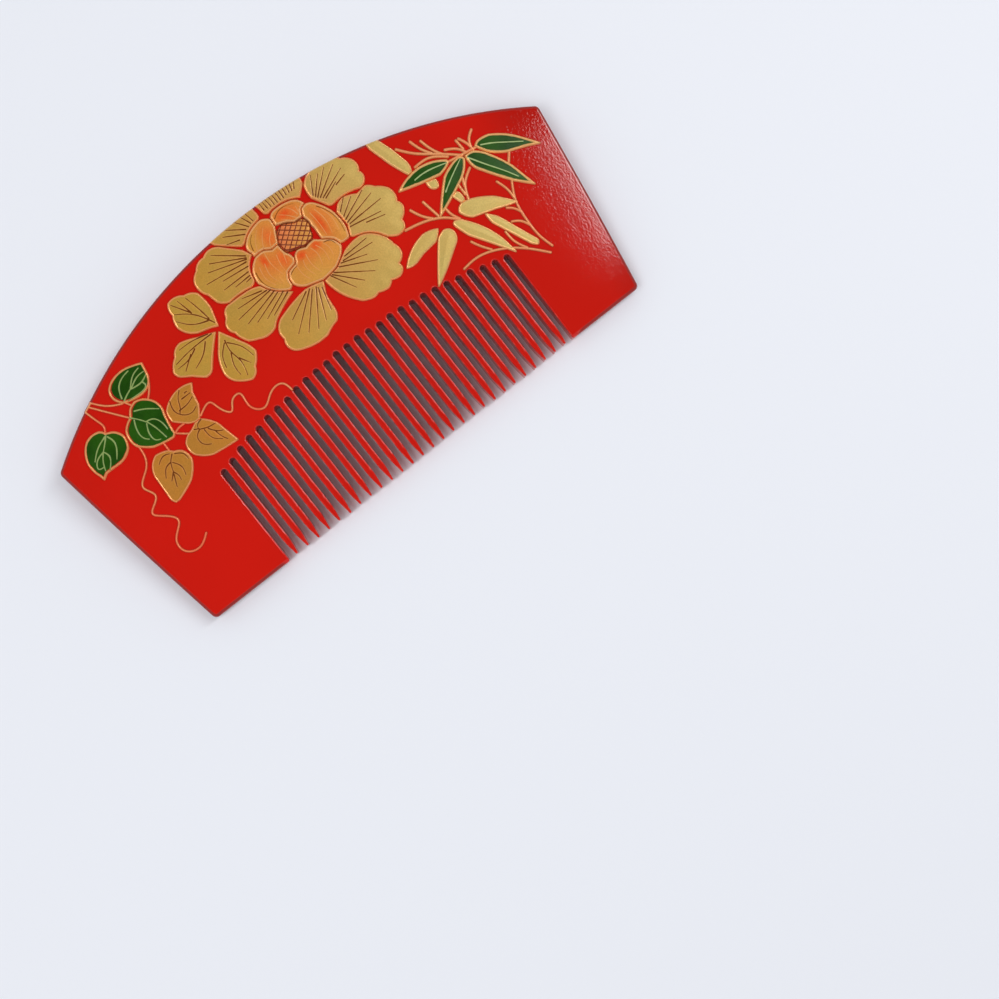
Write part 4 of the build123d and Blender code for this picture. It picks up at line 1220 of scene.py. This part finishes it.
BAMBOO_GOLD = {
    "bamboo_gold_top": [
        (22.2, 45.2, 0), (21.95, 43.2, 0.05), (23.0, 39.6, 0), (24.3, 36.45, 0.05), (25.0, 36.45, 0.1),
        (25.3, 38.0, 0.1), (24.6, 41.0, 0), (23.8, 43.2, 0), (23.2, 45.2, 0),
    ],
    "bamboo_gold_left": [
        (15.1, 24.9, 0.5), (16.8, 24.65, 0.1), (18.5, 25.15, 0), (21.2, 25.45, 0), (22.7, 26.8, 0.1),
        (20.3, 27.5, 0.15),
    ],
    "bamboo_gold_lower_left": [
        (17.3, 19.6, 0.1), (20.5, 21.3, 0.05), (23.6, 23.3, 0), (24.5, 24.9, 0.25), (23.3, 26.05, 0.3),
        (21.9, 25.5, 0.05),
    ],
    "bamboo_gold_middle": [
        (25.2, 25.6, 0.1), (26.1, 23.0, 0.05), (29.3, 18.2, 0), (30.4, 16.5, 0), (30.2, 18.1, 0),
        (28.7, 22.6, 0.2), (26.6, 25.6, 0.1), (25.5, 26.1, 0.1),
    ],
    "bamboo_gold_right": [
        (27.1, 26.8, 0.2), (28.4, 24.95, 0.2), (32.3, 23.7, 0), (35.4, 22.6, 0.05), (33.0, 25.4, 0.05),
        (30.2, 27.15, 0.1), (28.2, 27.65, 0.1),
    ],
    "bamboo_gold_lower_right": [
        (30.2, 24.0, 0.05), (30.3, 22.3, 0.05), (33.1, 16.2, 0), (34.0, 15.3, 0.1), (34.3, 16.0, 0.15),
        (32.5, 20.2, 0), (31.4, 22.7, 0.05),
    ],
    "bamboo_bud_upper": [
        (25.8, 33.6, 0), (25.8, 32.7, 0.05), (26.9, 32.0, 0.25), (27.2, 33.2, 0.15),
    ],
    "bamboo_bud_lower": [
        (27.8, 29.3, 0), (28.3, 27.9, 0), (28.9, 27.85, 0.05), (28.95, 29.2, 0.1), (28.6, 29.6, 0.05),
    ],
}
BLADE_RIM_WIDTH = 0.38
GREEN_BLADE_SHAPE = (0.40, BLADE_RIM_WIDTH, 0.25, 0.04, RAISED_VEIN)
GOLD_BLADE_RIM_WIDTH = 0.26
GOLD_BLADE_SHAPE = (0.38, GOLD_BLADE_RIM_WIDTH, 0.34, LEAF_DOME, 0.0)
MIDRIB_GREEN = (0.36, 0.45, 0.19, 1)
BLADE_GOLD = (0.57, 0.33, 0.06, 1)
BLADE_RIM = (0.92, 0.50, 0.19, 1)
green_blade = raised_finish(
    "green_bamboo", (LEAF_GREEN, LEAF_GREEN_DARK, LEAF_GREEN), BLADE_RIM, MIDRIB_GREEN, BLADE_RIM_WIDTH,
    metal=0.0, rough=GREEN_ROUGH, lip=0.0, coat=GREEN_COAT,
)
# The gold blades are painted paler towards the right end, a painted sheen.
gold_blade = raised_finish(
    "gold_bamboo", (BLADE_GOLD, GOLD, GOLD), BLADE_RIM, CUT_AND_SHADE_BROWN, GOLD_BLADE_RIM_WIDTH,
    metal=GOLD_METAL, rough=GOLD_ROUGH, pale=0.35,
)
for name, rows in BAMBOO_GREEN.items():
    leaf = leaf_piece(f"painted_{name}", rows, BAMBOO_MIDRIBS[name], GREEN_BLADE_SHAPE, GREEN_VEIN_WIDTHS)
    seat_on_board(leaf, name, green_blade)
for name, rows in BAMBOO_GOLD.items():
    leaf = leaf_piece(f"raised_{name}", rows, [], GOLD_BLADE_SHAPE)
    seat_on_board(leaf, name, gold_blade)

# Stems, tendrils and twigs. Lines of thick lacquer drawn with a fine brush and dusted with gold, round in
# section, that run up to the rims of the leaves.
LINE_CELL = 0.05
LINE_TOP = 0.29
LINE_RIM_WIDTH = 0.05
LINE_ROUGH = 0.36
IVY_LINE_SHARE = 0.8
TWIG_LINE_SHARE = 0.9
LINES = {
    "ivy_stems": (0.38, [
        [(-38.3, 37.6), (-37.7, 35.3), (-37.5, 34.2), (-38.0, 33.2)],
        [(-37.4, 37.9), (-35.5, 35.4), (-33.5, 32.8)],
        [(-36.9, 38.4), (-34.9, 36.25), (-33.0, 35.25)],
        [(-38.3, 37.7), (-36.8, 38.3)],
        [(-29.5, 33.4), (-28.5, 34.4), (-27.4, 36.0)],
        [(-32.6, 35.1), (-32.1, 34.2)],
        [(-31.85, 26.6), (-31.9, 25.1)],
        [(-29.4, 26.7), (-28.5, 27.0), (-27.5, 27.0)],
        [(-29.3, 26.5), (-28.6, 25.9), (-27.7, 25.2)],
    ]),
    "ivy_tendril_left": (0.38, [
        [
            (-35.2, 28.9), (-35.3, 27.2), (-36.4, 25.1), (-38.6, 22.9), (-37.9, 20.9), (-40.0, 19.0),
            (-38.6, 17.4), (-37.5, 15.8), (-39.7, 13.4), (-39.6, 11.2), (-37.6, 10.35), (-35.4, 11.5),
        ],
    ]),
    "ivy_tendril_right": (0.38, [
        [
            (-24.7, 26.4), (-22.3, 27.15), (-21.6, 25.3), (-20.5, 24.0), (-19.3, 25.3), (-17.9, 25.5),
            (-17.8, 23.0), (-16.2, 21.35), (-13.7, 22.65), (-11.6, 22.6), (-11.0, 20.9),
        ],
    ]),
    "bamboo_twigs_upper": (0.46, [
        [(25.2, 40.6), (27.0, 38.5), (30.0, 36.1), (33.0, 33.6)],
        [(27.7, 40.2), (28.5, 38.0), (29.3, 36.8)],
        [(29.1, 39.3), (29.8, 37.0), (30.6, 35.6)],
        [(25.9, 36.6), (28.3, 36.5), (31.0, 34.8)],
        [(31.3, 35.9), (32.9, 34.9), (33.7, 33.8)],
        [(33.6, 36.0), (33.7, 34.3)],
        [(34.1, 36.0), (34.8, 34.3), (34.9, 33.2)],
        [(36.6, 35.9), (35.3, 34.8), (34.9, 33.8)],
        [(30.6, 34.1), (35.6, 33.3)],
        [(39.4, 29.7), (38.2, 28.3)],
    ]),
    "bamboo_twigs_middle": (0.46, [
        [(21.1, 31.7), (22.2, 29.6), (23.1, 28.6)],
        [(23.5, 31.5), (24.1, 28.3)],
        [(18.55, 29.7), (22.0, 28.9), (25.0, 27.3), (26.7, 25.5)],
        [(25.7, 28.6), (25.8, 27.6), (26.5, 26.0)],
        [(32.7, 31.3), (30.6, 29.8), (29.5, 27.5)],
        [(30.9, 31.0), (30.3, 29.6)],
        [(29.6, 30.2), (29.6, 28.4)],
    ]),
    "bamboo_twigs_lower": (0.4, [
        [(25.7, 22.0), (26.5, 20.5), (27.5, 19.1)],
        [(22.2, 19.3), (24.4, 19.5), (28.2, 18.5), (32.2, 15.7), (34.7, 13.0)],
        [(31.0, 19.9), (31.2, 18.0), (32.2, 15.9)],
        [(34.8, 27.0), (35.4, 25.0), (35.4, 23.1)],
        [(36.8, 25.7), (35.4, 23.0), (34.85, 19.0), (34.9, 16.5), (35.6, 13.7)],
        [(33.5, 22.8), (34.4, 22.0), (35.0, 20.8)],
        [(32.8, 20.6), (34.0, 19.8), (34.8, 18.4)],
    ]),
}


def line_piece(name, strokes, width, top):
    """Raised lines of one width, half an ellipse in section: top sqrt(1 - ((half - edge) / half)**2)."""
    half = width / 2
    corners = np.concatenate([smooth_line(stroke) for stroke in strokes])

    def height(points, edge):
        return top * np.sqrt(1 - (1 - np.clip(edge / half, 0.05, 1)) ** 2)

    def marks(points, edge):
        still = np.full(len(points), FAR_OFF)
        return {"edge": edge, "vein": still, "blush": still * 0, "inset": still, "shade": still}

    def field(points):
        return line_field(points, strokes, half)

    return relief(name, field, corners.min(0) - width, corners.max(0) + width, height, marks, LINE_CELL)


SALMON = (0.93, 0.21, 0.09, 1)
TWIG_GOLD = (0.84, 0.37, 0.15, 1)
TWIG_SALMON = (0.86, 0.31, 0.13, 1)
salmon_line = raised_finish(
    "salmon_gold_line", (SALMON, TWIG_GOLD, SALMON), SALMON, CUT_AND_SHADE_BROWN, LINE_RIM_WIDTH,
    metal=GOLD_METAL, rough=LINE_ROUGH,
)
twig_line = raised_finish(
    "gold_twig_line", (TWIG_GOLD, TWIG_SALMON, TWIG_GOLD), TWIG_GOLD, CUT_AND_SHADE_BROWN, LINE_RIM_WIDTH,
    metal=GOLD_METAL, rough=LINE_ROUGH,
)
for name, (width, strokes) in LINES.items():
    drawn = width * (IVY_LINE_SHARE if name.startswith("ivy") else TWIG_LINE_SHARE)
    line = line_piece(f"drawn_{name}", strokes, drawn, LINE_TOP)
    seat_on_board(line, name, salmon_line if name.startswith("ivy") else twig_line)

# Floor: a plain pale sheet.
floor_mesh = bpy.data.meshes.new("floor")
FLOOR_HALF = 1.5
FLOOR_TONE = (0.82, 0.84, 0.90, 1)
floor_mesh.from_pydata(
    [(-FLOOR_HALF, -FLOOR_HALF, 0), (FLOOR_HALF, -FLOOR_HALF, 0), (FLOOR_HALF, FLOOR_HALF, 0),
     (-FLOOR_HALF, FLOOR_HALF, 0)], [], [(0, 1, 2, 3)],
)
floor = bpy.data.objects.new("floor", floor_mesh)
bpy.context.scene.collection.objects.link(floor)
floor_finish = bpy.data.materials.new("pale_floor")
add = link_nodes(floor_finish)
paper = add("ShaderNodeBsdfPrincipled", {"Base Color": FLOOR_TONE, "Roughness": 0.7})
add("ShaderNodeOutputMaterial", {"Surface": paper.outputs["BSDF"]})
floor_mesh.materials.append(floor_finish)

# Camera: above the middle of the comb's foot, turned so that the comb runs up to the right.
LENS_WIDTH = 36.0
LENS_LENGTH = 54.05
CAMERA_SPOT = (-9.16, 2.23, 237.66)
CAMERA_TURN = (3.00647, -1.04013, 0.11626)
turn_angle = float(np.linalg.norm(CAMERA_TURN))
face_to_lens = Matrix.Rotation(turn_angle, 3, Vector(CAMERA_TURN))
lens_to_face = face_to_lens.transposed() @ Matrix.Diagonal((1, -1, -1))
camera_data = bpy.data.cameras.new("camera")
camera_data.sensor_width = LENS_WIDTH
camera_data.lens = LENS_LENGTH
camera_data.clip_start = 0.01
camera = bpy.data.objects.new("camera", camera_data)
bpy.context.scene.collection.objects.link(camera)
face_to_model = Matrix.Rotation(LEAN, 3, "X")
camera.matrix_world = Matrix.LocRotScale(
    Vector(on_front(*(np.array(value) for value in CAMERA_SPOT))),
    (face_to_model @ lens_to_face).to_quaternion(),
    None,
)
bpy.context.scene.camera = camera

# Light: a pale room, dark overhead where the viewer stands, and soft windows that lie level above the comb.
# One on the right is mirrored in the comb's right end and one beyond it in the rims. A third, high on the
# left, gives no reflection.
ROOM_TONE = (0.98, 0.99, 1.0, 1)
ROOM_GLOW = 0.65
ROOM_LEAN = (-0.05, 0.0, 0.0)
OVERHEAD = Vector((0.0, 0.1, 1.0)).normalized()
PATCH_START = 0.90
PATCH_END = 0.965
PATCH_GLOW = 0.03
world = bpy.data.worlds.new("soft_room")
bpy.context.scene.world = world
add = link_nodes(world)
toward = add("ShaderNodeTexCoord").outputs["Generated"]
overhead = add("ShaderNodeVectorMath", {0: toward, 1: OVERHEAD}, operation="DOT_PRODUCT").outputs["Value"]
leaning = add("ShaderNodeVectorMath", {0: toward, 1: ROOM_LEAN}, operation="DOT_PRODUCT").outputs["Value"]
room = add("ShaderNodeMath", {0: leaning, 1: ROOM_GLOW}, operation="ADD").outputs[0]
patch = ramp_between(add, overhead, PATCH_START, PATCH_END, 1.0, PATCH_GLOW)
glow = add("ShaderNodeMath", {0: room, 1: patch}, operation="MULTIPLY").outputs[0]
sky = add("ShaderNodeBackground", {"Color": ROOM_TONE, "Strength": glow})
add("ShaderNodeOutputWorld", {"Surface": sky.outputs["Background"]})


def soft_window(name, spot, slant, size, radiance, mirrored=True):
    """A level rectangular light facing down. spot is its middle in millimetres of the front face's frame.

    slant turns it about the upright, in degrees. Its power is pi * radiance * area.
    """
    data = bpy.data.lights.new(name, "AREA")
    data.shape = "RECTANGLE"
    data.size, data.size_y = (MM * side for side in size)
    data.energy = float(np.pi * radiance * data.size * data.size_y)
    light = bpy.data.objects.new(name, data)
    bpy.context.scene.collection.objects.link(light)
    light.visible_camera = False
    light.visible_glossy = mirrored
    turned = face_to_model @ Matrix.Rotation(np.radians(slant), 3, "Z")
    place = Vector(on_front(*np.array(spot, float)))
    light.matrix_world = Matrix.LocRotScale(place, turned.to_quaternion(), None)


soft_window("right_window", (247, 50, 600), -7.5, (130, 80), 11.0)
soft_window("side_window", (520, 40, 560), 0, (420, 90), 12.0)
soft_window("high_window", (-300, 40, 620), 0, (320, 320), 4.4, mirrored=False)
bpy.context.scene.view_settings.view_transform = "Standard"
